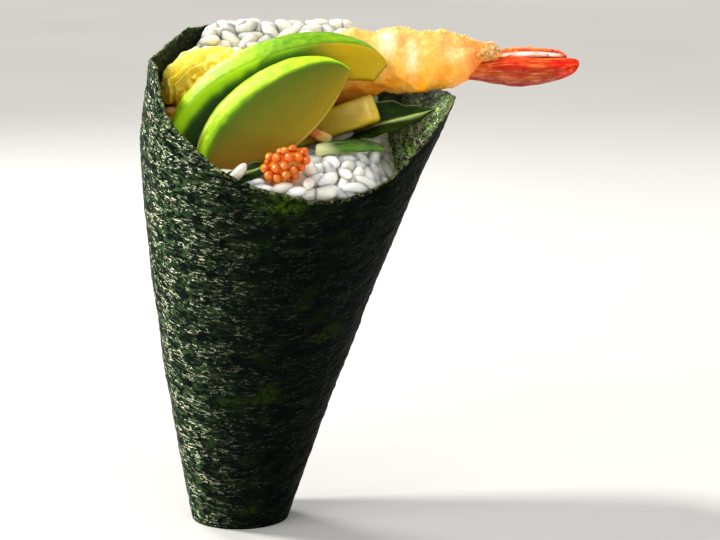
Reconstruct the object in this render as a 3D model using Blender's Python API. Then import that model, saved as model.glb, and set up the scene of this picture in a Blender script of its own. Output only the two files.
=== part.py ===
"""A spicy hand roll that stands on its blunt folded end.

A sheet of nori is rolled into a leaning cone whose mouth is low in front and high behind. Rice fills it.
On the rice lie a fried prawn whose tail sticks out at the right, two slices of avocado, orange roe, a yellow
baton in a folded leaf, the end of another leaf, a length of scallion and a scrap of cooked prawn meat.

Metres, +Z up, +X towards the prawn's tail, -Y towards the low side of the mouth. The origin is the centre of
the end that the roll stands on.
"""

import math
import random

import bmesh
import bpy
from mathutils import Matrix, Vector, noise
from mathutils.bvhtree import BVHTree

MM = 0.001
TURN = 2 * math.pi
GAP = 0.35 * MM  # between pieces that touch

# The roll: an oval cone that leans and bends to the right as it rises
BASE_HALF = 12.2 * MM
FLARE = 0.261  # growth of the half width for each metre of height
FLARE_EASE = 0.12
SIDE_LEAN = 0.077
SIDE_BEND = 0.58
FRONT_LEAN = 0.02
BASE_OVAL = 0.95  # depth as a share of the width
OVAL_RATE = 1.3
WALL = 0.8 * MM
FLOOR = 2.0 * MM
OVERLAP_STEPS = 6
SEAM_DEGREES = 75
ROLL_SIDES = 64
OUTER_ROWS = 10
INNER_ROWS = 7
RIPPLE = 0.55 * MM
RIPPLE_HEIGHT = 17 * MM
RIM_NICKS = 0.5 * MM
# The left of the rim curls inwards by this much, over these heights
CURL = 3.6 * MM
CURL_ANGLE = math.radians(166)
CURL_SPAN = (96 * MM, 121 * MM)
# Height of the rim in millimetres, at each angle from +X towards the back
RIM = (
    (0, 109.5), (24, 111.2), (60, 117.5), (90, 122.0), (120, 125.9), (140, 126.2), (157, 122.6),
    (180, 119.6), (203, 118.9), (216, 108.3), (231, 101.6), (250, 94.1), (268, 90.7), (288, 87.8),
    (304, 89.0), (318, 92.3), (330, 98.0), (345, 104.0),
)

# The rice: heights in millimetres of its top, from the front of the mouth to the back
CREST = (
    (-31, 87.5), (-21, 95.0), (-12, 96.0), (-8, 97.5), (-4, 102.0), (0, 104.0), (6, 107.0), (12, 117.0),
    (17, 124.0), (23, 125.5), (28, 122.5), (33, 117.0),
)
LEFT_SLOPE = ((-31, 93.0), (-12, 96.5), (-6, 102.0), (0, 104.0), (10, 105.0), (31, 108.0))
RIGHT_LEVEL = 84.0
CREST_SPAN = (-6 * MM, 27 * MM)
LEFT_END = -15 * MM
RIGHT_END = 41 * MM
BELOW_RIM = 1.3 * MM
CREST_RISE = 26 * MM  # how much the top may stand above the rim, at the middle
FROM_WALL = 1.1 * WALL + GAP  # the rice's side, measured from the middle of the sheet
RICE_SIDES = 36
RICE_ROWS = 4
RICE_RINGS = 8
RICE_BUMPS = 0.8 * MM
GRAIN_LENGTH = 6.1 * MM
GRAIN_WIDTH = 2.9 * MM
GRAIN_SPACING = 3.5 * MM
GRAIN_COUNT = 84
GRAIN_TRIES = 5000
GRAIN_SINK = 0.22  # how far a grain's middle stands above the core, as a share of its width
TOP_ABOVE = 80 * MM  # grains lie only higher than this

# The fillings are placed in a frame that leans back by this much: x, up the lean, and depth
LEAN = math.radians(11)

# The fried prawn: x, up, half height and half depth in millimetres
PRAWN_DEPTH = -16.0 * MM
PRAWN = (
    (-19.6, 111.4, 0.4, 0.4), (-18.8, 111.4, 2.8, 2.6), (-16.6, 111.7, 5.2, 4.9), (-12.0, 112.2, 7.8, 7.4),
    (-5.6, 111.7, 8.9, 8.4), (2.0, 110.9, 8.9, 8.6), (7.9, 112.7, 9.1, 8.7), (16.0, 114.5, 9.1, 8.8),
    (23.6, 114.9, 9.3, 8.8), (29.2, 116.2, 9.2, 8.7), (35.1, 117.4, 7.9, 7.8), (41.4, 117.9, 8.6, 8.2),
    (47.8, 117.5, 7.6, 7.3), (52.9, 117.8, 7.1, 6.8), (58.0, 117.8, 5.6, 5.6), (63.3, 117.9, 3.9, 4.2),
    (67.0, 117.9, 2.7, 3.0), (69.0, 118.0, 1.6, 1.7),
)
PRAWN_SIDES = 22
PRAWN_RINGS = 34
CRAG = 1.0 * MM
CRAG_SIZE = 6.0 * MM
BATTER_END = (60.3 * MM, 115.0 * MM)
BATTER_END_SLOPE = math.radians(36)
# The tail's two lobes: x, up, half height, half depth
LOWER_LOBE = (
    (57.0, 115.0, 1.2, 1.6), (61.0, 115.4, 2.2, 2.6), (66.0, 115.2, 3.3, 3.4), (71.0, 115.0, 3.8, 3.6),
    (77.0, 115.1, 3.3, 3.2), (82.5, 115.8, 2.6, 2.5), (85.6, 116.5, 1.7, 1.7), (87.0, 117.1, 0.4, 0.4),
)
UPPER_LOBE = (
    (62.0, 118.2, 1.0, 1.6), (66.0, 118.9, 1.5, 2.2), (71.0, 119.5, 1.7, 2.4), (77.0, 119.6, 1.5, 2.1),
    (82.0, 119.3, 1.0, 1.5), (84.0, 118.9, 0.3, 0.4),
)
UPPER_LOBE_BACK = 1.3 * MM
LOBE_SIDES = 12
LOBE_RINGS = 10

# Avocado slices: low and high tip in x and up, and the bulge of the skin side and of the stone side
SLICE_THICKNESS = 5.9 * MM
SLICE_STEPS = 16
SKIN_BEVEL = 4.6 * MM
FRONT_SLICE = dict(
    low=(-7.4 * MM, 86.3 * MM),
    high=(29.0 * MM, 113.1 * MM),
    depth=-33.0 * MM,
    skin=14.0 * MM,
    stone=-7.0 * MM,
    lip=0.0,
)
BACK_SLICE = dict(
    low=(-15.6 * MM, 93.8 * MM),
    high=(38.0 * MM, 115.2 * MM),
    depth=-26.7 * MM,
    skin=17.4 * MM,
    stone=3.3 * MM,
    lip=2.7 * MM,
)
LIP_SHARE = 0.08
# From the back face to the front one: share of the thickness, and share of the bevel on the skin side
SLICE_LAYERS = ((0.0, 0.0), (0.3, 0.14), (0.62, 0.42), (0.86, 0.74), (1.0, 1.0))

BATON_SIZE = (26 * MM, 8.0 * MM, 7.1 * MM)  # length, depth, height
BATON_END = (35.45 * MM, 104.85 * MM, -25.5 * MM)  # x, up, depth of the middle of its cut end
BATON_RISE = math.radians(18.4)
BATON_BEVEL = 0.5 * MM

# The leaf: x, up and depth of its fold, then up and depth from there to its lower and to its upper edge
LEAF = (
    (14.0, 92.8, -23.2, -2.6, -5.5, 0.6, 2.0), (19.0, 94.8, -22.2, -2.0, -6.4, 1.8, 1.6),
    (24.0, 96.7, -21.0, -1.7, -8.0, 3.0, 0.6), (30.5, 98.8, -20.5, -2.3, -9.4, 4.8, 0.6),
    (36.5, 101.0, -20.1, -3.0, -7.2, 6.3, 0.9), (43.8, 103.2, -18.8, -2.6, -3.5, 2.9, 0.7),
    (50.2, 105.0, -17.6, -0.2, -0.2, 0.2, 0.1),
)
LEAF_THICKNESS = 0.5 * MM
LEAF_STEPS = 14
LEAF_ACROSS = 4
# The other leaf's end: x, up and depth of its middle, then up and depth from there to its edges
LEAF_END = (
    (-3.5, 85.7, -40.3, -0.6, -1.0, 0.6, 0.5), (1.0, 87.2, -40.8, -1.9, -2.6, 1.5, 1.0),
    (5.0, 88.3, -41.0, -2.3, -3.0, 1.9, 1.2), (8.6, 89.5, -40.9, -1.6, -2.0, 1.3, 0.8),
)
LEAF_END_STEPS = 6

# The scallion's middle: x, up, depth, radius
SCALLION = (
    (20.4, 93.6, -35.3, 1.55), (24.0, 94.3, -35.5, 1.65), (28.5, 94.7, -35.6, 1.6),
    (33.0, 94.7, -35.4, 1.35), (36.0, 94.3, -35.2, 0.9), (37.6, 93.8, -35.1, 0.25),
)
SCALLION_SIDES = 10
SCALLION_RINGS = 10

MEAT_CENTRE = (21.5 * MM, 97.5 * MM, -31.35 * MM)
MEAT_SIZE = (5.6 * MM, 2.5 * MM, 2.7 * MM)
MEAT_TILT = math.radians(-24)

ROE_CENTRE = (13.6 * MM, 89.9 * MM, -43.2 * MM)
ROE_HALF = (5.3 * MM, 3.0 * MM, 3.3 * MM)  # along its length, in depth, in height
ROE_RISE = math.radians(28)
BEAD = 1.05 * MM
BEAD_COUNT = 42
BEAD_TRIES = 1500


# General helpers

def clear_scene():
    for obj in list(bpy.data.objects):
        bpy.data.objects.remove(obj, do_unlink=True)


def leaning(x, up, depth):
    """The place in the leaning frame of the fillings, as a world point."""
    return Vector(
        (x, up * math.sin(LEAN) + depth * math.cos(LEAN), up * math.cos(LEAN) - depth * math.sin(LEAN))
    )


def slope_at(stations, n, k):
    low = max(n - 1, 0)
    high = min(n + 1, len(stations) - 1)
    return (stations[high][k] - stations[low][k]) / (stations[high][0] - stations[low][0])


def through(stations, place):
    """The values at a place on smooth curves through stations of (place, value, ...), in rising order."""
    place = min(max(place, stations[0][0]), stations[-1][0])
    n = next(i for i in range(len(stations) - 1) if place <= stations[i + 1][0])
    start, end = stations[n], stations[n + 1]
    span = end[0] - start[0]
    t = (place - start[0]) / span
    values = []
    for k in range(1, len(start)):
        leave = slope_at(stations, n, k) * span
        arrive = slope_at(stations, n + 1, k) * span
        values.append(
            start[k] * (1 + 2 * t) * (1 - t) ** 2 + leave * t * (1 - t) ** 2
            + end[k] * t * t * (3 - 2 * t) - arrive * t * t * (1 - t)
        )
    return values


def ease(low, high, value):
    """0 below low, 1 above high, and a smooth rise between them; low may be the larger."""
    t = min(max((value - low) / (high - low), 0), 1)
    return t * t * (3 - 2 * t)


def material(name, colour, roughness, coat=0.0, subsurface=0.0):
    made = bpy.data.materials.new(name)
    made.use_nodes = True
    shader = made.node_tree.nodes["Principled BSDF"]
    shader.inputs["Base Color"].default_value = (*colour, 1)
    shader.inputs["Roughness"].default_value = roughness
    shader.inputs["Metallic"].default_value = 0
    shader.inputs["Coat Weight"].default_value = coat
    shader.inputs["Subsurface Weight"].default_value = subsurface
    made.diffuse_color = (*colour, 1)
    return made


def add_object(name, bm, finish=None):
    """An object of this bmesh, its faces turned outwards."""
    bmesh.ops.recalc_face_normals(bm, faces=bm.faces)
    mesh = bpy.data.meshes.new(name)
    bm.to_mesh(mesh)
    bm.free()
    mesh.shade_smooth()
    mesh.set_sharp_from_angle(angle=math.radians(40))
    obj = bpy.data.objects.new(name, mesh)
    bpy.context.scene.collection.objects.link(obj)
    if finish:
        mesh.materials.append(finish)
    return obj


def bridge(bm, first, second):
    """Faces between two closed rings of vertices of the same length."""
    for i in range(len(first)):
        j = (i + 1) % len(first)
        bm.faces.new((first[i], first[j], second[j], second[i]))


def fan(bm, ring, centre):
    middle = bm.verts.new(centre)
    for i in range(len(ring)):
        bm.faces.new((ring[i], ring[(i + 1) % len(ring)], middle))


def loft(rings):
    """A closed solid through rings of points, each end closed by a fan about the ring's middle."""
    bm = bmesh.new()
    rows = [[bm.verts.new(point) for point in ring] for ring in rings]
    for first, second in zip(rows, rows[1:]):
        bridge(bm, first, second)
    for points, row in ((rings[0], rows[0]), (rings[-1], rows[-1])):
        fan(bm, row, sum(points, Vector()) / len(points))
    return bm


def apply_boolean(obj, others, operation):
    """Joins or cuts the object with all the others in one step, and removes them."""
    group = bpy.data.collections.new(obj.name + "_others")
    bpy.context.scene.collection.children.link(group)
    for other in others:
        bpy.context.scene.collection.objects.unlink(other)
        group.objects.link(other)
    step = obj.modifiers.new("join", "BOOLEAN")
    step.operation = operation
    step.operand_type = "COLLECTION"
    step.collection = group
    step.solver = "MANIFOLD"
    graph = bpy.context.evaluated_depsgraph_get()
    mesh = bpy.data.meshes.new_from_object(obj.evaluated_get(graph))
    obj.modifiers.clear()
    obj.data = mesh
    for other in others:
        bpy.data.objects.remove(other, do_unlink=True)
    bpy.data.collections.remove(group)
    keep_largest(obj)


def keep_largest(obj):
    """Drops the loose scraps that a cut leaves, and what is sealed inside."""
    bm = bmesh.new()
    bm.from_mesh(obj.data)
    bmesh.ops.triangulate(bm, faces=bm.faces)
    left = set(bm.verts)
    largest = []
    while left:
        island = []
        queue = [left.pop()]
        while queue:
            vertex = queue.pop()
            island.append(vertex)
            for edge in vertex.link_edges:
                other = edge.other_vert(vertex)
                if other in left:
                    left.remove(other)
                    queue.append(other)
        if len(island) > len(largest):
            largest = island
    kept = set(largest)
    bmesh.ops.delete(bm, geom=[v for v in bm.verts if v not in kept], context="VERTS")
    bm.to_mesh(obj.data)
    bm.free()


def tree_of(obj):
    bm = bmesh.new()
    bm.from_mesh(obj.data)
    bmesh.ops.triangulate(bm, faces=bm.faces)
    tree = BVHTree.FromBMesh(bm)
    bm.free()
    return tree


def is_clear(trees, points, radius):
    """Whether balls of this radius at the points keep the gap to every surface."""
    for tree in trees:
        for point in points:
            if tree.find_nearest(point, radius + GAP)[0] is not None:
                return False
    return True


# The roll of nori

def section(z):
    """Middle x and y, half width and half depth of the roll at this height."""
    half = BASE_HALF + FLARE * z - FLARE_EASE * z * z
    return SIDE_LEAN * z + SIDE_BEND * z * z, -FRONT_LEAN * z, half, half * (BASE_OVAL - OVAL_RATE * z)


def rim_height(angle):
    degrees = math.degrees(angle) % 360
    around = [(RIM[-1][0] - 360, RIM[-1][1]), *RIM, (RIM[0][0] + 360, RIM[0][1])]
    nick = RIM_NICKS * noise.noise(Vector((9 * math.cos(angle), 9 * math.sin(angle), 3.7)))
    return through(around, degrees)[0] * MM + nick


def ripple(angle, z):
    """How far the sheet stands out of the true cone, none at its foot and most at its rim."""
    wave = noise.noise(Vector((2.6 * math.cos(angle), 2.6 * math.sin(angle), z / RIPPLE_HEIGHT)))
    rise = z / rim_height(angle)
    return RIPPLE * wave * ease(0, 0.15, rise) * (0.5 + rise ** 4)


def wall_point(angle, z, inward):
    middle_x, middle_y, half_x, half_y = section(z)
    facing = max(0.0, math.cos(angle - CURL_ANGLE)) ** 2
    out = ripple(angle, z) - inward - CURL * facing * ease(*CURL_SPAN, z)
    across = (half_x + out) * math.cos(angle)
    return Vector((middle_x + across, middle_y + (half_y + out) * math.sin(angle), z))


def roll_ring(bm, height_at, inward_at):
    """Vertex pairs round the roll. The two of a pair differ only where the sheet's edge makes a step."""
    ring = []
    for i in range(ROLL_SIDES):
        angle = TURN * i / ROLL_SIDES
        z = height_at(angle)
        before, after = (wall_point(angle, z, inward) for inward in inward_at(i))
        first = bm.verts.new(before)
        ring.append((first, first if before == after else bm.verts.new(after)))
    return ring


def turns_outside(i):
    """How far in the outer side lies, just before and just after this step of the turn."""
    seam = round(ROLL_SIDES * SEAM_DEGREES / 360)
    after = (i - seam) % ROLL_SIDES / ROLL_SIDES
    before = 1.0 if after == 0 else after
    return (before - 1) * WALL, (after - 1) * WALL


def turns_inside(i):
    """The same for the inner side, where the sheet's start lies over its end for a few steps."""
    seam = round(ROLL_SIDES * SEAM_DEGREES / 360)
    step = (i - seam) % ROLL_SIDES
    before = step / ROLL_SIDES + (step <= OVERLAP_STEPS)
    after = step / ROLL_SIDES + (step < OVERLAP_STEPS)
    return before * WALL, after * WALL


def join_pairs(bm, first, second):
    """Faces between two rows of vertex pairs, also across their steps."""
    for i in range(ROLL_SIDES):
        j = (i + 1) % ROLL_SIDES
        bm.faces.new((first[i][1], first[j][0], second[j][0], second[i][1]))
        corners = (first[i][0], first[i][1], second[i][1], second[i][0])
        distinct = list(dict.fromkeys(corners))
        if len(distinct) > 2:
            bm.faces.new(distinct)


def close_pairs(bm, ring, z):
    middle = bm.verts.new((0, 0, z))
    flat = list(dict.fromkeys(vertex for pair in ring for vertex in pair))
    for i in range(len(flat)):
        bm.faces.new((flat[i], flat[(i + 1) % len(flat)], middle))


def roll_rows(bm, count, foot, turns):
    """Rows of one side of the wall, from its foot up to the rim."""
    rows = []
    for row in range(count + 1):
        rise = row / count
        rows.append(roll_ring(bm, lambda angle: foot + rise * (rim_height(angle) - foot), turns))
    return rows


def make_nori():
    bm = bmesh.new()
    outer = roll_rows(bm, OUTER_ROWS, 0, turns_outside)
    inner = roll_rows(bm, INNER_ROWS, FLOOR, turns_inside)
    for rows in (outer, inner):
        for first, second in zip(rows, rows[1:]):
            join_pairs(bm, first, second)
    join_pairs(bm, outer[-1], inner[-1])
    close_pairs(bm, outer[0], 0)
    close_pairs(bm, inner[0], FLOOR)
    return add_object("nori", bm, material("nori_sheet", (0.022, 0.034, 0.018), 0.42, coat=0.3))


# The fillings

def tube(stations, depth, sides, rings, relief=None, grow=0.0):
    """Rings along x of an oval tube through (x, up, half height, half depth) in millimetres."""
    start, end = stations[0][0], stations[-1][0]
    made = []
    for k in range(rings + 1):
        share = 0.5 - 0.5 * math.cos(math.pi * k / rings)
        x = start + (end - start) * (0.35 * share + 0.65 * k / rings)
        up, half_up, half_deep = through(stations, x)
        ring = []
        for i in range(sides):
            angle = TURN * i / sides
            place = Vector((x, up + half_up * math.cos(angle), half_deep * math.sin(angle))) * MM
            extra = relief(place) * min(half_up, 3) / 3 if relief else 0.0
            ring.append(leaning(
                x * MM,
                up * MM + (half_up * MM + extra + grow) * math.cos(angle),
                depth + (half_deep * MM + extra + grow) * math.sin(angle),
            ))
        made.append(ring)
    return made


def crags(place):
    """Height of the batter's lumps at a place on the prawn."""
    broad = noise.noise(place / CRAG_SIZE)
    fine = noise.noise(place / (0.45 * CRAG_SIZE) + Vector((5, 1, 2)))
    return CRAG * (0.9 * broad + 0.55 * fine)


def cut_off(bm, point, normal):
    """Removes what lies beyond the plane, and closes the cut."""
    cut = bmesh.ops.bisect_plane(
        bm, geom=bm.verts[:] + bm.edges[:] + bm.faces[:], plane_co=point, plane_no=normal, clear_outer=True
    )
    edges = [item for item in cut["geom_cut"] if isinstance(item, bmesh.types.BMEdge)]
    bmesh.ops.contextual_create(bm, geom=edges)


def batter_end_normal():
    return leaning(math.sin(BATTER_END_SLOPE), -math.cos(BATTER_END_SLOPE), 0)


def make_prawn_body():
    bm = loft(tube(PRAWN, PRAWN_DEPTH, PRAWN_SIDES, PRAWN_RINGS, crags))
    cut_off(bm, leaning(*BATTER_END, PRAWN_DEPTH), batter_end_normal())
    return add_object("shrimp_body", bm, material("fried_batter", (0.86, 0.56, 0.17), 0.5, subsurface=0.2))


def make_prawn_tail():
    shell = material("tail_shell", (0.72, 0.10, 0.03), 0.3, coat=0.4)
    tail = add_object("shrimp_tail", loft(tube(LOWER_LOBE, PRAWN_DEPTH, LOBE_SIDES, LOBE_RINGS)), shell)
    upper = tube(UPPER_LOBE, PRAWN_DEPTH + UPPER_LOBE_BACK, LOBE_SIDES, LOBE_RINGS)
    apply_boolean(tail, [add_object("upper_lobe", loft(upper))], "UNION")
    bm = bmesh.new()
    bm.from_mesh(tail.data)
    away = batter_end_normal()
    cut_off(bm, leaning(*BATTER_END, PRAWN_DEPTH) + away * GAP, -away)
    bmesh.ops.recalc_face_normals(bm, faces=bm.faces)
    bm.to_mesh(tail.data)
    bm.free()
    return tail


def slice_outline(spec, inset, grow):
    """Points of the skin side and of the stone side, from the low tip to the high tip."""
    low, high = Vector(spec["low"]), Vector(spec["high"])
    along = (high - low).normalized()
    across = Vector((-along.y, along.x))
    low = low - along * grow
    high = high + along * grow
    skin, stone = [], []
    for i in range(SLICE_STEPS + 1):
        t = 0.5 - 0.5 * math.cos(math.pi * i / SLICE_STEPS)
        bow = 2 * math.sqrt(t * (1 - t))
        inner = min(max((t - LIP_SHARE) / (1 - 2 * LIP_SHARE), 0), 1)
        lip = -spec["lip"] * min(t, 1 - t, LIP_SHARE) / LIP_SHARE
        if spec["lip"]:
            stone_side = lip + (spec["stone"] + spec["lip"]) * math.sin(math.pi * inner) ** 0.8
        else:
            stone_side = spec["stone"] * 4 * t * (1 - t)
        chord = low.lerp(high, t)
        skin.append(chord + across * (bow * (spec["skin"] - inset + grow)))
        stone.append(chord + across * (stone_side - grow * min(4 * bow, 1)))
    return skin, stone


def slice_bm(spec, grow=0.0):
    """A slice of avocado: its skin side slopes in towards the front face."""
    bm = bmesh.new()
    rows = []
    for forward, share in SLICE_LAYERS:
        depth = spec["depth"] + grow - forward * (SLICE_THICKNESS + 2 * grow)
        skin, stone = slice_outline(spec, SKIN_BEVEL * share, grow)
        ring = skin + stone[-2:0:-1]
        rows.append([bm.verts.new(leaning(point.x, point.y, depth)) for point in ring])
    for first, second in zip(rows, rows[1:]):
        bridge(bm, first, second)
    for row in (rows[0], rows[-1]):
        skin = row[: SLICE_STEPS + 1]
        stone = [row[0], *row[:SLICE_STEPS:-1], row[SLICE_STEPS]]
        for i in range(SLICE_STEPS):
            corners = dict.fromkeys((skin[i], skin[i + 1], stone[i + 1], stone[i]))
            bm.faces.new(list(corners))
    return bm


def make_slices():
    flesh = material("avocado_flesh", (0.42, 0.52, 0.04), 0.38, subsurface=0.2)
    return [
        add_object("avocado_front", slice_bm(FRONT_SLICE), flesh),
        add_object("avocado_back", slice_bm(BACK_SLICE), flesh),
    ]


def box_bm(size, centre, turn):
    """A box in the leaning frame, turned within the plane that faces the front."""
    bm = bmesh.new()
    bmesh.ops.create_cube(bm, size=1)
    for vertex in bm.verts:
        x, deep, up = (vertex.co[k] * size[k] for k in range(3))
        across = x * math.cos(turn) - up * math.sin(turn)
        rise = x * math.sin(turn) + up * math.cos(turn)
        vertex.co = leaning(centre[0] + across, centre[1] + rise, centre[2] + deep)
    return bm


def grown_size(size, grow):
    return [side + 2 * grow for side in size]


def add_bevel(obj, width, segments):
    bevel = obj.modifiers.new("rounded_edges", "BEVEL")
    bevel.width = width
    bevel.segments = segments
    return obj


def baton_centre():
    half = BATON_SIZE[0] / 2
    x, up, depth = BATON_END
    return x - half * math.cos(BATON_RISE), up - half * math.sin(BATON_RISE), depth


def make_baton():
    bm = box_bm(BATON_SIZE, baton_centre(), BATON_RISE)
    baton = add_object("radish_baton", bm, material("baton_flesh", (0.48, 0.36, 0.04), 0.35, subsurface=0.2))
    return add_bevel(baton, BATON_BEVEL, 2)


def make_meat():
    bm = box_bm(MEAT_SIZE, MEAT_CENTRE, MEAT_TILT)
    meat = add_object("crab_piece", bm, material("cooked_meat", (0.78, 0.36, 0.12), 0.4, subsurface=0.2))
    return add_bevel(meat, 0.8 * MM, 2)


def leaf_grid(stations, steps, across, edge_wave):
    """Points across the blade at each step: its lower edge, the fold and its upper edge, with wavy edges."""
    grid = []
    for k in range(steps + 1):
        x = stations[0][0] + (stations[-1][0] - stations[0][0]) * k / steps
        up, depth, low_up, low_depth, high_up, high_depth = through(stations, x)
        row = []
        for i in range(across + 1):
            share = 2 * i / across - 1
            if share < 0:
                offset = (-share * low_up, -share * low_depth)
            else:
                offset = (share * high_up, share * high_depth)
            wave = edge_wave * share * share * math.sin(1.1 * x + 2 * share)
            row.append(leaning(x * MM, (up + offset[0] + wave) * MM, (depth + offset[1]) * MM))
        grid.append(row)
    return grid


def leaf_grids():
    return (
        leaf_grid(LEAF, LEAF_STEPS, LEAF_ACROSS, 0.25),
        leaf_grid(LEAF_END, LEAF_END_STEPS, LEAF_ACROSS, 0.2),
    )


def wider_grid(grid, grow):
    """The same grid with its border moved outwards."""
    for line in [*grid, *map(list, zip(*grid))]:
        for edge, inner in ((0, 1), (-1, -2)):
            line[edge] += (line[edge] - line[inner]).normalized() * grow
    return grid


def sheet_bm(grid, thickness):
    """A thin closed solid about a grid of points, both faces split into triangles alike."""
    bm = bmesh.new()
    last, width = len(grid) - 1, len(grid[0]) - 1
    faces = ([], [])
    for k, row in enumerate(grid):
        for i, point in enumerate(row):
            run = grid[min(k + 1, last)][i] - grid[max(k - 1, 0)][i]
            cross = row[min(i + 1, width)] - row[max(i - 1, 0)]
            normal = run.cross(cross).normalized() * (thickness / 2)
            faces[0].append(bm.verts.new(point + normal))
            faces[1].append(bm.verts.new(point - normal))
    span = width + 1
    for side in faces:
        for k in range(last):
            for i in range(width):
                a, b = side[k * span + i], side[k * span + i + 1]
                c, d = side[(k + 1) * span + i], side[(k + 1) * span + i + 1]
                bm.faces.new((a, b, d))
                bm.faces.new((a, d, c))
    border = [(0, i) for i in range(width)] + [(k, width) for k in range(last)]
    border += [(last, i) for i in range(width, 0, -1)] + [(k, 0) for k in range(last, 0, -1)]
    first, second = ([side[k * span + i] for k, i in border] for side in faces)
    bridge(bm, first, second)
    return bm


def make_leaves():
    green = material("leaf_green", (0.012, 0.032, 0.006), 0.35, coat=0.3)
    return [
        add_object(name, sheet_bm(grid, LEAF_THICKNESS), green)
        for name, grid in zip(("leaf", "leaf_end"), leaf_grids())
    ]


def scallion_rings(grow=0.0):
    start, end = SCALLION[0][0] * MM - grow, SCALLION[-1][0] * MM + grow
    rings = []
    for k in range(SCALLION_RINGS + 1):
        x = start + (end - start) * k / SCALLION_RINGS
        up, depth, radius = (value * MM for value in through(SCALLION, x / MM))
        ring = []
        for i in range(SCALLION_SIDES):
            angle = TURN * i / SCALLION_SIDES
            side = (radius + grow) * math.cos(angle), (radius + grow) * math.sin(angle)
            ring.append(leaning(x, up + side[0], depth + side[1]))
        rings.append(ring)
    return rings


def make_scallion():
    green = material("scallion_green", (0.13, 0.28, 0.02), 0.35)
    return add_object("scallion", loft(scallion_rings()), green)


def roe_core_rings(grow=0.0):
    """Rings along the heap of roe, thin at its upper right end."""
    steps, sides = 8, 12
    rings = []
    for k in range(steps + 1):
        polar = math.pi * (0.04 + 0.92 * k / steps)
        along = -(ROE_HALF[0] + grow) * math.cos(polar)
        taper = math.sin(polar) * (1 - 0.28 * along / ROE_HALF[0])
        ring = []
        for i in range(sides):
            angle = TURN * i / sides
            deep = (ROE_HALF[1] * taper + grow) * math.sin(angle)
            up = (ROE_HALF[2] * taper + grow) * math.cos(angle)
            x = along * math.cos(ROE_RISE) - up * math.sin(ROE_RISE)
            rise = along * math.sin(ROE_RISE) + up * math.cos(ROE_RISE)
            ring.append(leaning(ROE_CENTRE[0] + x, ROE_CENTRE[1] + rise, ROE_CENTRE[2] + deep))
        rings.append(ring)
    return rings


def seed_bm(length, width, sides=5):
    """A small rounded seed along x, with few sides."""
    bm = bmesh.new()
    rows = []
    for place, share in ((-0.36, 0.36), (0.0, 0.5), (0.36, 0.36)):
        row = []
        for i in range(sides):
            angle = TURN * i / sides
            side = share * width
            row.append(bm.verts.new((place * length, side * math.cos(angle), side * math.sin(angle))))
        rows.append(row)
    for first, second in zip(rows, rows[1:]):
        bridge(bm, first, second)
    fan(bm, rows[0], Vector((-0.5 * length, 0, 0)))
    fan(bm, rows[-1], Vector((0.5 * length, 0, 0)))
    return bm


def placed_seed(length, width, centre, direction, roll):
    bm = seed_bm(length, width)
    turn = direction.to_track_quat("X", "Z").to_matrix().to_4x4()
    bm.transform(Matrix.Translation(centre) @ turn @ Matrix.Rotation(roll, 4, "X"))
    return add_object("seed", bm)


def surface_points(obj, rng):
    """An endless draw of points on the object's surface, with the normals there, spread evenly by area."""
    mesh = obj.data
    mesh.calc_loop_triangles()
    corners = [[mesh.vertices[i].co for i in triangle.vertices] for triangle in mesh.loop_triangles]
    areas = [triangle.area for triangle in mesh.loop_triangles]
    normals = [triangle.normal.copy() for triangle in mesh.loop_triangles]
    while True:
        n = rng.choices(range(len(areas)), weights=areas)[0]
        a, b = rng.random(), rng.random()
        if a + b > 1:
            a, b = 1 - a, 1 - b
        p, q, r = corners[n]
        yield p + (q - p) * a + (r - p) * b, normals[n]


def make_roe(neighbours):
    """The heap of roe, with its beads where nothing else lies."""
    orange = material("roe_orange", (0.82, 0.20, 0.01), 0.15, coat=0.6)
    roe = add_object("roe", loft(roe_core_rings()), orange)
    rng = random.Random(11)
    draw = surface_points(roe, rng)
    trees = [tree_of(obj) for obj in neighbours]
    places, beads = [], []
    for _ in range(BEAD_TRIES):
        point, normal = next(draw)
        centre = point + normal * (0.15 * BEAD)
        far_enough = all((centre - other).length > 1.55 * BEAD for other in places)
        if len(beads) < BEAD_COUNT and far_enough and is_clear(trees, [centre], BEAD):
            places.append(centre)
            beads.append(placed_seed(2 * BEAD, 2 * BEAD, centre, normal, rng.uniform(0, TURN)))
    apply_boolean(roe, beads, "UNION")
    return roe


# The rice

def fill_height(x, y):
    """Height of the rice's top: a crest behind, low in front, lower still at the right."""
    crest = through(CREST, y / MM)[0] * MM
    left = through(LEFT_SLOPE, y / MM)[0] * MM
    to_left = ease(CREST_SPAN[0], LEFT_END, x)
    to_right = ease(CREST_SPAN[1], RIGHT_END, x)
    bump = RICE_BUMPS * noise.noise(Vector((x, y, 0)) / (7 * MM))
    return crest + (left - crest) * to_left + (RIGHT_LEVEL * MM - crest) * to_right + bump


def rice_top(angle, share):
    """A point on the rice's top, this share of the way from the middle to the wall."""
    most = rim_height(angle) - BELOW_RIM + (1 - share) * CREST_RISE
    low, high = 0.0, most
    for _ in range(20):
        z = (low + high) / 2
        middle_x, middle_y, _, _ = section(z)
        point = Vector((middle_x, middle_y, z)).lerp(wall_point(angle, z, FROM_WALL), share)
        if fill_height(point.x, point.y) > z:
            low = z
        else:
            high = z
    return point


def make_rice_core():
    low = FLOOR + GAP
    angles = [TURN * i / RICE_SIDES for i in range(RICE_SIDES)]
    edges = [rice_top(angle, 1) for angle in angles]
    rings = []
    for row in range(RICE_ROWS + 1):
        t = row / RICE_ROWS
        rings.append([
            wall_point(angle, low + t * (edge.z - low), FROM_WALL) for angle, edge in zip(angles, edges)
        ])
    for step in range(1, RICE_RINGS):
        rings.append([rice_top(angle, 1 - step / RICE_RINGS) for angle in angles])
    bm = loft(rings)
    return add_object("rice", bm, material("cooked_rice", (0.86, 0.85, 0.76), 0.4, subsurface=0.25))


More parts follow.
